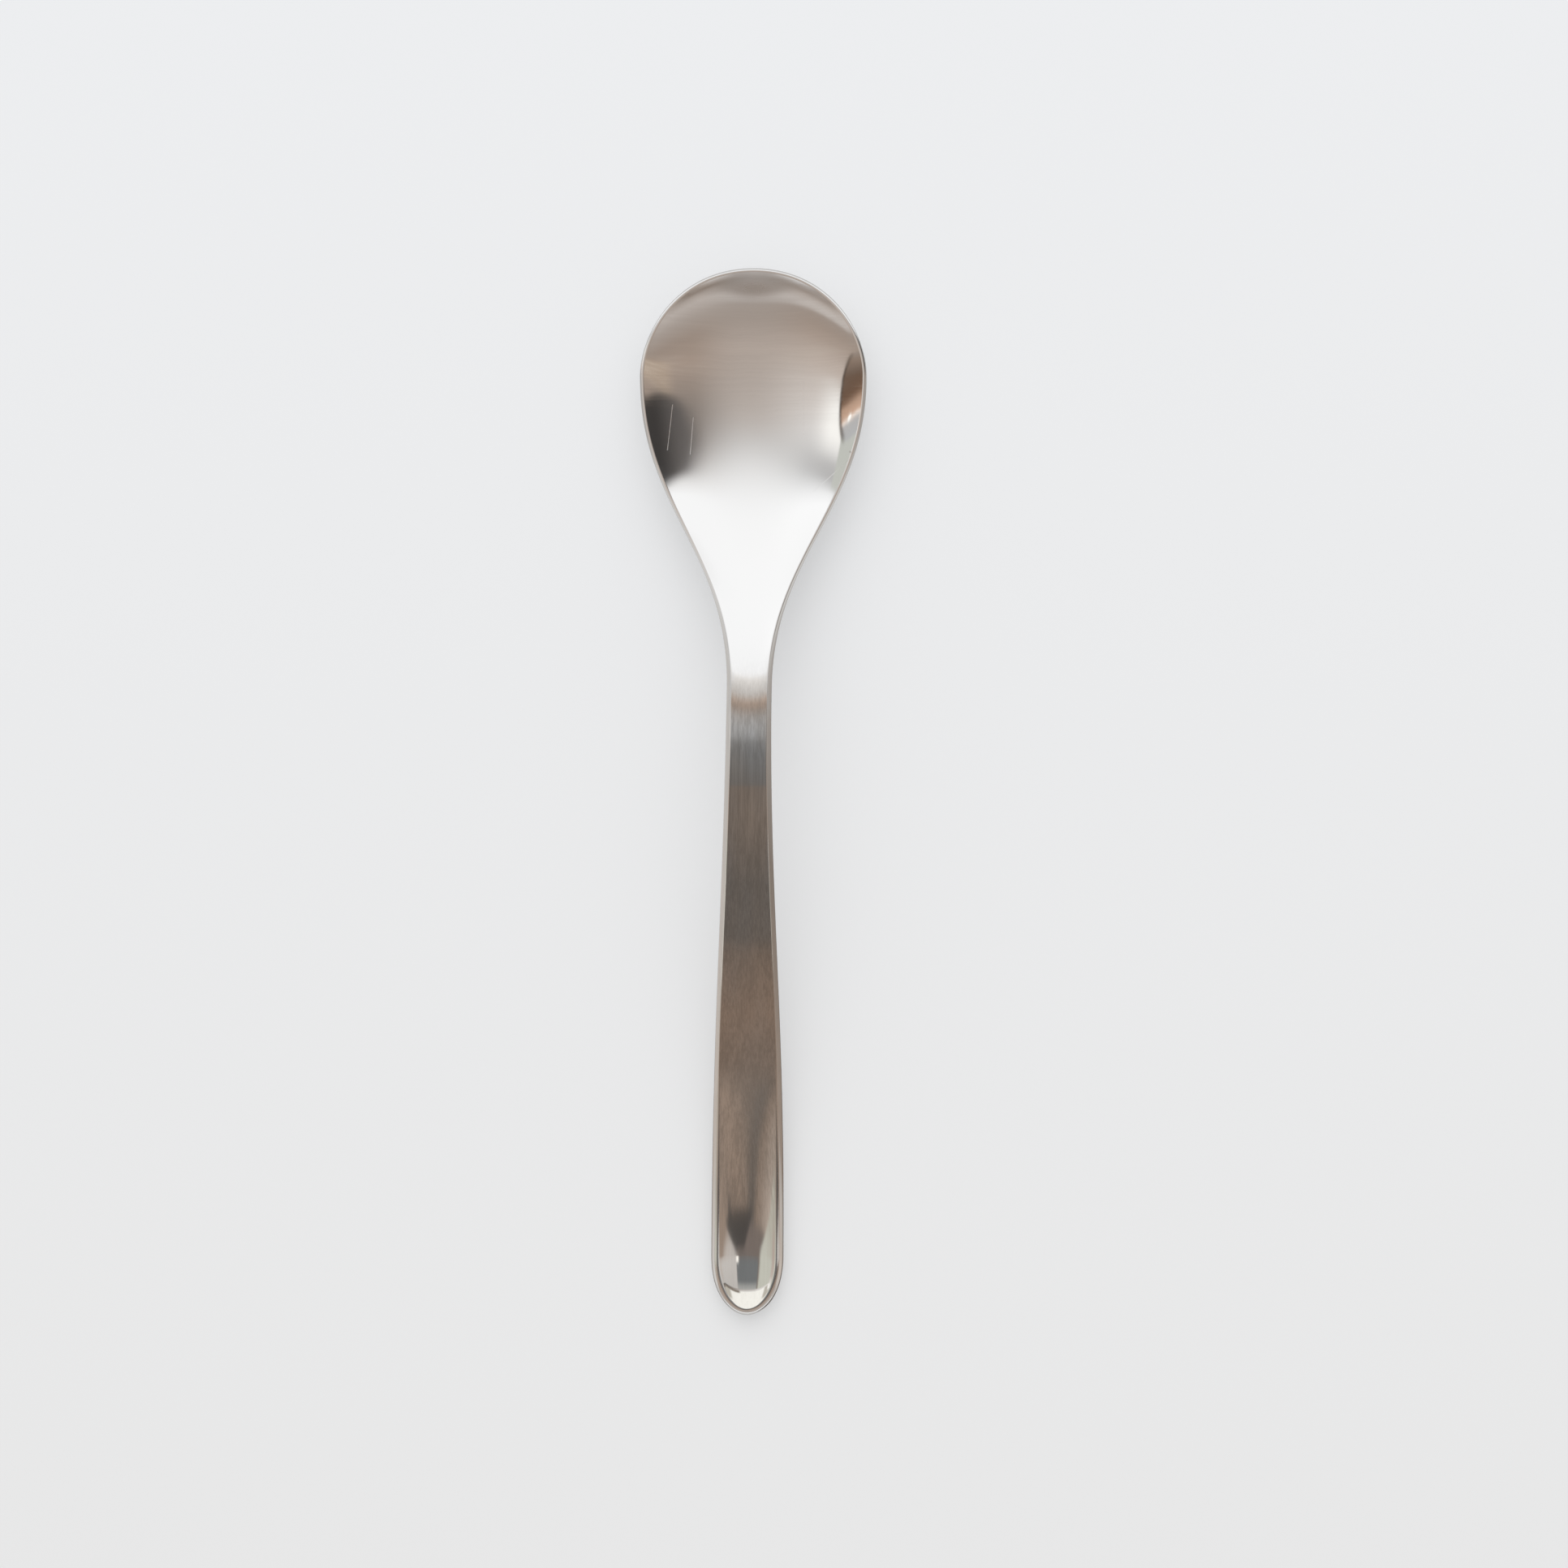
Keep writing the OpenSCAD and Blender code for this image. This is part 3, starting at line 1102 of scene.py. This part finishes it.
@dataclass(frozen=True)
class Sky:
    """The room as the steel reflects it, on a flat map of the directions above the table.

    The zenith is at 0, 0, the horizon lies at radius 1, and a place p, q is the tangent of half
    its angle from the zenith. Three scales run from the back of the map to its front, bent down
    towards the sides: one for the left, one for the middle and one for the right.
    """

    bend: float = 0.28
    balance: Colour = (1.0, 1.026, 1.062)
    left_from: Edge = Edge(0.0, 0.40)
    left: Tones = tones(
        *BEHIND,
        (-0.67, 0.50, 1.25), (-0.60, 0.42, 1.40), (-0.55, 0.66, 1.27), (-0.50, 0.78, 1.20),
        (-0.455, 0.76, 1.20), (-0.43, 0.45, 1.42), (-0.34, 0.46, 1.50), (-0.26, 0.52, 1.48),
        (-0.14, 0.70, 1.36), (-0.05, 0.72, 1.34), (0.12, 1.12, 1.08), (0.17, 1.04, 1.05),
        (0.21, 0.80, 1.04), (0.25, 0.75, 1.03), (0.285, 1.42, 1.00), (0.33, 1.60, 1.00),
        (0.42, 1.56, 1.00), (0.55, 1.08, 1.02), (1.00, 0.88, 1.04),
    )
    middle: Tones = tones(
        *BEHIND,
        (-0.67, 0.50, 1.25), (-0.62, 0.36, 1.30), (-0.545, 0.42, 1.28), (-0.50, 0.68, 1.20),
        (-0.455, 0.66, 1.20), (-0.42, 0.50, 1.32), (-0.30, 0.50, 1.36), (-0.14, 0.62, 1.35),
        (-0.06, 0.59, 1.33), (0.10, 0.69, 1.24), (0.18, 0.87, 1.07), (0.30, 1.50, 1.00),
        (0.41, 1.56, 1.00), (0.53, 1.04, 1.02), (1.00, 0.88, 1.04),
    )
    right_from: Edge = Edge(0.0, 0.35)
    right: Tones = tones(
        *BEHIND,
        (-0.67, 0.50, 1.35), (-0.62, 0.31, 1.50), (-0.56, 0.58, 1.30), (-0.50, 0.71, 1.23),
        (-0.38, 0.54, 1.31), (-0.25, 0.43, 1.50), (-0.12, 0.48, 1.55), (-0.04, 0.45, 1.50),
        (0.06, 0.35, 1.33), (0.12, 0.34, 1.30), (0.16, 0.38, 1.28), (0.20, 0.50, 1.20),
        (0.24, 0.80, 1.12), (0.28, 1.32, 1.03), (0.31, 1.54, 1.00), (0.42, 1.54, 1.00),
        (0.55, 1.04, 1.02), (1.00, 0.86, 1.04),
    )
    streaks: Streaks = Streaks()
    window_glows: tuple[Patch, ...] = (
        Patch(Band(-0.78, -0.46, 0.12), Band(-0.02, 0.165, 0.06), (1.62, 1.59, 1.52), 0.9),
        Patch(Band(-0.60, -0.12, 0.12), Band(-0.08, 0.06, 0.06), (1.10, 1.02, 0.96), 0.35),
    )
    horizon: Edge = Edge(0.87, 0.93)
    horizon_back: Edge = Edge(-0.62, -0.50)
    horizon_front: Edge = Edge(0.35, 0.5, falling=True)
    horizon_colour: Colour = (0.84, 0.82, 0.79)
    horizon_right: Patch = Patch(Edge(0.4, 0.7), Band(-0.34, 0.30, 0.10), (0.42, 0.37, 0.33))
    dark_corner: DarkCorner = DarkCorner()
    lamp_shade: LampShade = LampShade()

    def paint(self, p: Field, q: Field) -> Field:
        """Paints the whole sky.

        Args:
            p: The place's p on the map, to the right.
            q: The place's q on the map, towards the tip of the bowl.

        Returns:
            The sky's colour.
        """
        tree = p.tree
        s = q - p * p * self.bend
        sky = tree.tone_scale(s, self.middle)
        sky = tree.colour_mix(sky, tree.tone_scale(s, self.left), self.left_from.mask(p * -1.0))
        sky = tree.colour_mix(sky, tree.tone_scale(s, self.right), self.right_from.mask(p))
        sky = self.streaks.lay(sky, p, q)
        for glow in self.window_glows:
            sky = glow.lay(sky, p, s)
        rim = self.horizon.mask(tree.length(tree.vector(p, q)))
        rim = rim * self.horizon_back.mask(q) * self.horizon_front.mask(q)
        sky = tree.colour_mix(sky, self.horizon_right.lay(self.horizon_colour, p, q), rim)
        sky = self.dark_corner.lay(sky, p, q, s)
        sky = self.lamp_shade.lay(sky, p, q, s)
        return tree.vector_math("MULTIPLY", sky, self.balance)


# How many steps of a scale of tones go into a metre, on the sheets close by and far off
NEAR_SCALE = 10.0
FAR_SCALE = 5.0


@dataclass(frozen=True)
class Card:
    """A painted sheet close to the spoon that only reflections near it see.

    Lengths are in metres on the frame's own axes. The sheet fades out at its ends and sides, and
    for steel that is further from it than its reach.
    """

    name: str
    back: float
    front: float
    reach: float
    end_fades: tuple[float, float]
    fade: float = 4 * MM
    reach_fade_share: float = 0.04

    def profile(self, front: bool) -> list[tuple[float, float]]:
        """Returns the sheet's x and z from side to side, at its back or at its front."""
        raise NotImplementedError

    def cover(self, x: Field, y: Field, z: Field) -> Value:
        """Returns 1 where the sheet is, away from its ends."""
        raise NotImplementedError

    def paint(self, x: Field, y: Field) -> Field:
        """Returns the colour at a place on the sheet."""
        raise NotImplementedError

    def travel(self, x: Field) -> Field:
        """Returns how far the steel lies from the sheet, which the reach limits."""
        return x.tree.call("ShaderNodeLightPath", {}, "Ray Length")

    def build(self) -> bpy.types.Object:
        """Builds the sheet as a stage piece.

        Returns:
            The sheet's object.
        """
        rows = [(self.back, self.profile(False)), (self.front, self.profile(True))]
        corners = [(x, y, z) for y, line in rows for x, z in line]
        n = len(corners) // 2
        faces = [(i, i + 1, n + i + 1, n + i) for i in range(n - 1)]
        sheet = new_sheet(self.name, corners, faces, self.dress())
        for kind in ("camera", "diffuse", "transmission", "volume_scatter", "shadow"):
            setattr(sheet, f"visible_{kind}", False)
        return sheet

    def dress(self) -> bpy.types.Material:
        """Writes the sheet's glowing paint, with its faded sides.

        Returns:
            The material.
        """
        material, tree = new_material(self.name)
        x, y, z = tree.parts(tree.call("ShaderNodeTexCoord", {}, "Object"))
        glow = tree.call("ShaderNodeEmission", {"Color": self.paint(x, y), "Strength": 1.0})
        at_back, at_front = self.end_fades
        near = Edge(self.reach * (1.0 - self.reach_fade_share), self.reach, falling=True)
        there = Edge(self.back, self.back + at_back).mask(y) * self.cover(x, y, z)
        there = there * Edge(self.front - at_front, self.front, falling=True).mask(y)
        there = there * near.mask(self.travel(x))
        clear = tree.call("ShaderNodeBsdfTransparent", {})
        tree.show(tree.call("ShaderNodeMixShader", {0: there, 1: clear, 2: glow}))
        return material


@dataclass(frozen=True)
class SideCard(Card):
    """An upright sheet beside the spoon with a foot on the table, shown by the ground edge.

    Its place at the back and at the front are signed distances on x. The foot runs from its inner
    line out to the sheet, and is painted darker near the spoon: a painted shadow of the spoon on the
    table, as the ground edge reflects it. It can reach in further by its inset.
    """

    at_back: float = 0.0
    at_front: float = 0.0
    foot: float = 6.4 * MM
    foot_inset: float = 0.0
    foot_height: float = 0.2 * MM
    foot_share: float = 0.5
    high_back: float = 24 * MM
    high_front: float = 46 * MM
    along: Tones = ()

    def profile(self, front: bool) -> list[tuple[float, float]]:
        """Draws the sheet's foot and wall.

        Args:
            front: Whether to draw its front and not its back.

        Returns:
            The x and z of its corners, from the spoon outwards.
        """
        x = self.at_front if front else self.at_back
        high = self.high_front if front else self.high_back
        foot = math.copysign(self.foot - self.foot_inset, x)
        return [(foot, self.foot_height), (x, self.foot_height), (x, high)]

    def cover(self, x: Field, y: Field, z: Field) -> Value:
        """Fades the sheet out below its upper side.

        Args:
            x: The place's x.
            y: The place's y.
            z: The place's z.

        Returns:
            1 where the sheet is, away from its ends.
        """
        share = (y - self.back) / (self.front - self.back)
        below = x.tree.mix(self.high_back, self.high_front, share) - z
        return Edge(0.0, self.fade).mask(below)

    def paint(self, x: Field, y: Field) -> Field:
        """Paints the tones along y, with a painted shadow on the foot near the spoon.

        Args:
            x: The place's x.
            y: The place's y.

        Returns:
            The colour.
        """
        tree = x.tree
        out = Edge(self.foot, 2.0 * self.foot).mask(tree.math("ABSOLUTE", x))
        tone = tree.tone_scale(y * NEAR_SCALE, self.along)
        # Painted shadow: the foot darkens to its shadow level next to the spoon.
        return tree.scaled(tone, tree.mix(self.foot_share, 1.0, out))


@dataclass(frozen=True)
class Canopy(Card):
    """A sheet over the handle. It stands for the dark things above the table."""

    left: float = 0.0
    right: float = 0.0
    back_height: float = 0.0
    front_height: float = 0.0

    def profile(self, front: bool) -> list[tuple[float, float]]:
        """Returns the sheet's x and z from side to side, at its back or at its front."""
        z = self.front_height if front else self.back_height
        return [(self.left, z), (self.right, z)]

    def travel(self, x: Field) -> Field:
        """Returns how far the steel lies from the sheet, leaving out the way across."""
        away = super().travel(x)
        return x.tree.math("SQRT", x.tree.math("MAXIMUM", away * away - x * x, 0.0))

    def cover(self, x: Field, y: Field, z: Field) -> Value:
        """Returns 1 where the sheet is, away from its ends."""
        half = self.fade / 2
        return Band(self.left + half, self.right - half, half).mask(x)


@dataclass(frozen=True)
class NearCanopy(Canopy):
    """What the arch of the handle shows: tones along y, with faint long stripes."""

    along: Tones = ()
    stripe: tuple[float, float] = (1.1 * MM, 16 * MM)
    stripe_strength: float = 0.32
    blotch: tuple[float, float] = (3.5 * MM, 24 * MM)
    blotch_seed: float = 5.0
    blotch_contrast: Edge = Edge(0.35, 0.65)
    cool: Colour = (0.98, 1.0, 1.03)
    warm: Colour = (1.025, 1.0, 0.98)

    def paint(self, x: Field, y: Field) -> Field:
        """Paints the tones, the stripes and slow changes of hue.

        Args:
            x: The place's x.
            y: The place's y.

        Returns:
            The colour.
        """
        tree = x.tree
        place = tree.vector(x / self.stripe[0], y / self.stripe[1])
        stripes = tree.noise(place)
        place = tree.vector(x / self.blotch[0], y / self.blotch[1], self.blotch_seed)
        blotches = self.blotch_contrast.mask(tree.noise(place, detail=1.0))
        tone = tree.tone_scale(y * NEAR_SCALE, self.along)
        tone = tree.scaled(tone, 1.0 + (stripes - 0.5) * self.stripe_strength)
        hue = tree.colour_mix(self.cool, self.warm, blotches)
        return tree.vector_math("MULTIPLY", tone, hue)


@dataclass(frozen=True)
class GlowCanopy(Canopy):
    """The bright sheet that the far wall of the thumb hollow shows as a crescent."""

    bright: Band = Band(-58 * MM, 46 * MM, 8 * MM)
    bright_colour: Colour = (1.5, 1.5, 1.44)
    side_colour: Colour = (0.80, 0.76, 0.68)
    corner: Patch = Patch(
        Band(12 * MM, 80 * MM, 3 * MM), Edge(-63 * MM, -60.5 * MM, falling=True), (0.38, 0.33, 0.28)
    )

    def paint(self, x: Field, y: Field) -> Field:
        """Returns the colour at a place on the sheet."""
        paint = x.tree.colour_mix(self.side_colour, self.bright_colour, self.bright.mask(x))
        return self.corner.lay(paint, x, y)


@dataclass(frozen=True)
class FarCanopy(Canopy):
    """What the thumb hollow shows: a dark room with a pale wall on the left and a lit one.

    From back to front come the dim ceiling, a dark wedge, a lit spot and a grey block. The borders
    of the lit wall and of the wedge slant: they move on x by their slant for each step back on y.
    """

    ceiling: Tones = tones(
        (-0.75, 0.60, 1.38), (-0.45, 0.48, 1.42), (-0.20, 0.31, 1.60), (-0.13, 0.21, 1.30),
        (-0.07, 0.21, 1.30), (-0.01, 0.31, 1.56), (0.10, 0.37, 1.62), (0.70, 0.38, 1.58),
    )
    dim_from: Edge = Edge(-118 * MM, -114 * MM)
    dim_colour: Colour = (0.30, 0.25, 0.225)
    wall: Edge = Edge(-74 * MM, -56 * MM, falling=True)
    wall_shift: float = 85 * MM
    wall_turn: Edge = Edge(-127 * MM, -108 * MM, rise=Rise.EVEN)
    wall_colours: tuple[Colour, Colour] = ((0.74, 0.71, 0.62), (0.88, 0.89, 0.80))
    lit: Tones = tones(
        (-0.61, 0.34, 1.62), (-0.592, 0.40, 1.55), (-0.56, 0.75, 1.16), (-0.515, 0.86, 1.08),
        (-0.25, 0.80, 1.07),
    )
    slant_from: float = -108.5 * MM
    lit_border: float = 54 * MM
    lit_slant: float = 6.0
    lit_least: float = -2 * MM
    lit_side: Edge = Edge(-8 * MM, 8 * MM)
    lit_from: Edge = Edge(-121 * MM, -118 * MM)
    block_across: Band = Band(-56 * MM, 42 * MM, 3 * MM)
    block_from: Edge = Edge(-107 * MM, -101 * MM)
    block_turn: Edge = Edge(-72 * MM, -46 * MM)
    block_colours: tuple[Colour, Colour] = ((0.275, 0.290, 0.300), (0.60, 0.61, 0.60))
    beside_across: Edge = Edge(40 * MM, 46 * MM)
    beside_from: Edge = Edge(-107 * MM, -103 * MM)
    wedge_border: float = 4 * MM
    wedge_slant: float = 2.5
    wedge_left: Edge = Edge(-4 * MM, 4 * MM)
    wedge_right: Edge = Edge(-8 * MM, 4 * MM, falling=True)
    wedge_along: Band = Band(-121 * MM, -107.5 * MM, 1.2 * MM)
    wedge_colour: Colour = (0.118, 0.108, 0.102)
    wedge_share: float = 0.97
    mark: Patch = Patch(
        Band(66 * MM, 90 * MM, 5 * MM), Band(-125 * MM, -119 * MM, 1 * MM), (0.19, 0.165, 0.145), 0.9
    )
    spot: Patch = Patch(
        Band(32 * MM, 43 * MM, 5 * MM), Band(-105 * MM, -101.5 * MM, 1 * MM), (2.0, 1.95, 1.85)
    )

    def paint(self, x: Field, y: Field) -> Field:
        """Paints the room from the ceiling forwards.

        Args:
            x: The place's x.
            y: The place's y.

        Returns:
            The colour.
        """
        tree = x.tree
        paint = tree.tone_scale(x * FAR_SCALE, self.ceiling)
        paint = tree.colour_mix(paint, self.dim_colour, self.dim_from.mask(y))
        turn = self.wall_turn.mask(y)
        pale = self.wall.mask(x + tree.mix(self.wall_shift, 0.0, turn))
        paint = tree.colour_mix(paint, tree.colour_mix(*self.wall_colours, turn), pale)
        lit = tree.tone_scale(y * FAR_SCALE, self.lit)
        back = self.slant_from - y
        lit_run = tree.math("MAXIMUM", back, self.lit_least) * self.lit_slant
        from_lit = x - (self.lit_border + lit_run)
        paint = tree.colour_mix(paint, lit, self.lit_side.mask(from_lit) * self.lit_from.mask(y))
        block = self.block_across.mask(x) * self.block_from.mask(y)
        grey = tree.colour_mix(*self.block_colours, self.block_turn.mask(y))
        paint = tree.colour_mix(paint, grey, block)
        beside = self.beside_across.mask(x) * self.beside_from.mask(y)
        paint = tree.colour_mix(paint, lit, beside)
        paint = self.mark.lay(paint, x, y)
        from_wedge = x - (self.wedge_border - back * self.wedge_slant)
        wedge = self.wedge_left.mask(from_wedge) * self.wedge_right.mask(from_lit)
        wedge = wedge * self.wedge_along.mask(y) * self.wedge_share
        paint = tree.colour_mix(paint, self.wedge_colour, wedge)
        return self.spot.lay(paint, x, y)


def edge_card(name: str, at: float, rows: tuple[Row, ...], **sizes: float) -> SideCard:
    """Returns the sheet that the handle's ground edge shows on one side."""
    return SideCard(name, -98 * MM, 44 * MM, 50 * MM, (6 * MM, 6 * MM), at_back=at, at_front=at,
                    along=tones(*rows), **sizes)


def bowl_card(name: str, side: float, rows: tuple[Row, ...]) -> SideCard:
    """Returns the sheet that the bowl's ground edge shows on one side."""
    return SideCard(name, 24 * MM, 76 * MM, 26 * MM, (10 * MM, 10 * MM), at_back=side * 20 * MM,
                    at_front=side * 33 * MM, foot=19.5 * MM, foot_share=1.0, high_front=26 * MM,
                    along=tones(*rows))


CARDS = (
    NearCanopy(
        "near_canopy", back=-60.0 * MM, front=40 * MM, reach=52 * MM, end_fades=(7 * MM, 3 * MM),
        left=-18 * MM, right=20 * MM, back_height=21.25 * MM, front_height=41.83 * MM,
        along=tones(
            (-0.69, 0.28, 1.68), (-0.54, 0.25, 1.65), (-0.457, 0.255, 1.75),
            (-0.345, 0.21, 1.60), (-0.315, 0.176, 1.34), (-0.204, 0.18, 1.26),
            (-0.065, 0.245, 1.42), (0.002, 0.25, 1.40), (0.006, 0.24, 1.12), (0.105, 0.31, 1.02),
            (0.135, 0.37, 1.02), (0.159, 0.55, 1.00), (0.186, 0.64, 1.00), (0.222, 0.62, 1.06),
            (0.258, 0.46, 1.40), (0.273, 0.48, 1.50), (0.285, 0.58, 1.45), (0.31, 0.82, 1.06),
            (0.333, 0.98, 1.00), (0.40, 1.36, 1.00),
        ),
    ),
    FarCanopy(
        "far_canopy", back=-150 * MM, front=-41 * MM, reach=178 * MM, end_fades=(4 * MM, 4 * MM),
        fade=60 * MM, left=-270 * MM, right=270 * MM, back_height=150 * MM, front_height=150 * MM,
    ),
    GlowCanopy(
        "end_glow", back=-66.5 * MM, front=-30 * MM, reach=110 * MM, end_fades=(3 * MM, 3 * MM),
        left=-85 * MM, right=95 * MM, back_height=60 * MM, front_height=60 * MM,
    ),
    edge_card("left_card", -30 * MM, (
        (-0.98, 1.10, 1.00), (-0.84, 0.92, 1.05), (-0.64, 0.76, 1.20), (0.44, 0.84, 1.00),
    ), foot_share=0.35, high_back=16 * MM),
    edge_card("right_card", 30 * MM, (
        (-0.98, 0.86, 1.10), (-0.85, 0.80, 1.20), (-0.80, 0.70, 1.24), (-0.74, 0.72, 1.14),
        (-0.70, 0.62, 1.18), (-0.65, 0.42, 1.45), (-0.40, 0.36, 1.40), (-0.15, 0.31, 1.34),
        (0.05, 0.41, 1.20), (0.44, 0.76, 1.05),
    ), foot_share=0.20, foot_inset=2 * MM),
    bowl_card("left_bowl_card", -1.0, (
        (0.24, 1.00, 1.00), (0.46, 0.92, 1.00), (0.58, 0.66, 1.04), (0.76, 0.66, 1.04),
    )),
    bowl_card("right_bowl_card", 1.0, (
        (0.24, 0.98, 1.00), (0.46, 0.86, 1.02), (0.58, 0.58, 1.08), (0.76, 0.52, 1.10),
    )),
)


@dataclass(frozen=True)
class Room:
    """What surrounds the table: a pale table top, soft even light and the reflections.

    The light comes from everywhere by its even share, and for the rest from a soft lobe. The
    table top glows by itself by a share of its tone, in the picture and in reflections. Its tone
    is painted darker towards the near end, as a painted fall-off of the light.
    """

    table_half: float = 1.6
    table_far: Colour = (0.845, 0.855, 0.870)
    table_near_shaded: Colour = (0.80, 0.80, 0.80)
    table_shade_falloff: Edge = Edge(-0.14, 0.14, rise=Rise.EVEN)
    table_glow: float = 0.5
    background: Colour = (0.84, 0.845, 0.855)
    light_from: tuple[float, float, float] = (-0.10, 0.70, 0.707)
    light_spread: float = 4.0
    light_even: float = 0.5
    sky: Sky = Sky()
    cards: tuple[Card, ...] = CARDS

    def build(self) -> None:
        """Builds the table top, the light and the reflections."""
        self.build_table_top()
        self.build_world()
        for card in self.cards:
            card.build()

    def build_table_top(self) -> bpy.types.Object:
        """Lays the pale table top under the spoon. From beneath it can't be seen.

        Returns:
            The table top's object.
        """
        material, tree = new_material("pale_table")
        y = tree.parts(tree.call("ShaderNodeTexCoord", {}, "Object"))[1]
        # Painted shade: the table top darkens towards its near end, for the light's fall-off.
        tone = tree.colour_mix(self.table_near_shaded, self.table_far, self.table_shade_falloff.mask(y))
        lit = tree.call("ShaderNodeBsdfDiffuse", {"Color": tone})
        glow = tree.call("ShaderNodeEmission", {"Color": tone, "Strength": 1.0})
        seen = tree.seen_by("Is Camera Ray", "Is Glossy Ray", "Is Transmission Ray")
        top = tree.call("ShaderNodeMixShader", {0: seen * self.table_glow, 1: lit, 2: glow})
        beneath = tree.call("ShaderNodeNewGeometry", {}, "Backfacing")
        clear = tree.call("ShaderNodeBsdfTransparent", {})
        tree.show(tree.call("ShaderNodeMixShader", {0: beneath, 1: top, 2: clear}))
        half = self.table_half
        corners = [(-half, -half, 0.0), (half, -half, 0.0), (half, half, 0.0), (-half, half, 0.0)]
        return new_sheet("table_top", corners, [(0, 1, 2, 3)], material)

    def build_world(self) -> None:
        """Writes the world: soft light for the table, and the room as the steel reflects it."""
        world = bpy.data.worlds.new("room")
        bpy.context.scene.world = world
        world.use_nodes = True
        world.cycles.sampling_method = "NONE"
        world.node_tree.nodes.clear()
        tree = Tree(world.node_tree)
        direction = tree.call("ShaderNodeTexCoord", {}, "Generated")
        x, y, z = tree.parts(direction)
        reach = tree.math("MAXIMUM", z, 0.0) + 1.0
        sky = self.sky.paint(x / reach, y / reach)
        facing = tree.math("MAXIMUM", tree.dot(direction, self.light_from), 0.0)
        whole = self.light_from[2] * 2.0 / (self.light_spread + 2.0)
        lobe = tree.math("POWER", facing, self.light_spread) * ((1.0 - self.light_even) / whole)
        level = lobe + self.light_even
        light = tree.colour_mix(tree.vector(level, level, level), sky, tree.seen_by("Is Glossy Ray"))
        seen = tree.seen_by("Is Camera Ray", "Is Transmission Ray")
        light = tree.colour_mix(light, self.background, seen)
        shader = tree.call("ShaderNodeBackground", {"Color": light, "Strength": 1.0})
        tree.show(shader, "ShaderNodeOutputWorld")


@dataclass(frozen=True)
class Viewpoint:
    """The camera: nearly straight above the spoon, a little to its right.

    Lengths are in metres. The roll is in radians, and turns the spoon's tip to the right.
    """

    stand: tuple[float, float, float] = (0.02372, 0.00161, 0.6)
    look_at: tuple[float, float, float] = (0.005454, 0.001661, 0.0)
    roll: float = 0.008
    lens: float = 81.83
    sensor: float = 36.0
    clip: tuple[float, float] = (0.01, 20.0)

    def build(self) -> bpy.types.Object:
        """Adds the camera and makes it the scene's own.

        Returns:
            The camera's object.
        """
        camera = bpy.data.cameras.new("camera")
        camera.lens, camera.sensor_width = self.lens, self.sensor
        camera.clip_start, camera.clip_end = self.clip
        view = bpy.data.objects.new("camera", camera)
        bpy.context.scene.collection.objects.link(view)
        stand, look_at = Vector(self.stand), Vector(self.look_at)
        away = (stand - look_at).normalized()
        top = Vector((-math.sin(self.roll), math.cos(self.roll), 0.0))
        right = top.cross(away).normalized()
        top = away.cross(right)
        turned = Matrix((right, top, away)).transposed().to_4x4()
        view.matrix_world = Matrix.Translation(stand) @ turned
        bpy.context.scene.camera = view
        return view


@dataclass(frozen=True)
class Spoon:
    """The soup spoon: bowl, shoulders, neck, arched handle and thumb hollow in one pressing."""

    sizes: SpoonSizes = SpoonSizes()
    finish: SatinSteel = SatinSteel()

    def build(self) -> bpy.types.Object:
        """Builds the spoon as one plain mesh, dresses it and hangs it on the frame.

        Returns:
            The spoon's object, at the origin.
        """
        group = SkinTree(self.sizes).build(self.finish.build())
        mesh = bpy.data.meshes.new("spoon_blank")
        spoon = bpy.data.objects.new("spoon_pressing", mesh)
        bpy.context.scene.collection.objects.link(spoon)
        modifier = spoon.modifiers.new("skin", "NODES")
        modifier.node_group = group
        for item in group.interface.items_tree:
            if item.in_out == "INPUT" and hasattr(self.sizes, item.name):
                modifier[item.identifier] = getattr(self.sizes, item.name)
        evaluated = spoon.evaluated_get(bpy.context.evaluated_depsgraph_get())
        skin = bpy.data.meshes.new_from_object(evaluated)
        spoon.modifiers.clear()
        spoon.data = skin
        skin.name = "spoon_pressing"
        for name in ("edge_radius", "outward", "seat", "upright"):
            skin.attributes.remove(skin.attributes[name])
        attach(spoon, "root")
        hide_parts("spoon")
        return spoon


def main() -> None:
    """Builds the room, the camera and the spoon, in that order."""
    scene = bpy.context.scene
    scene.view_settings.view_transform = "Standard"
    for name in ("Cube", "Light", "Camera"):
        if name in bpy.data.objects:
            bpy.data.objects.remove(bpy.data.objects[name])
    Room().build()
    Viewpoint().build()
    spoon = Spoon().build()
    log.info("%s: %d faces", spoon.name, len(spoon.data.polygons))


if __name__ == "__main__":
    main()
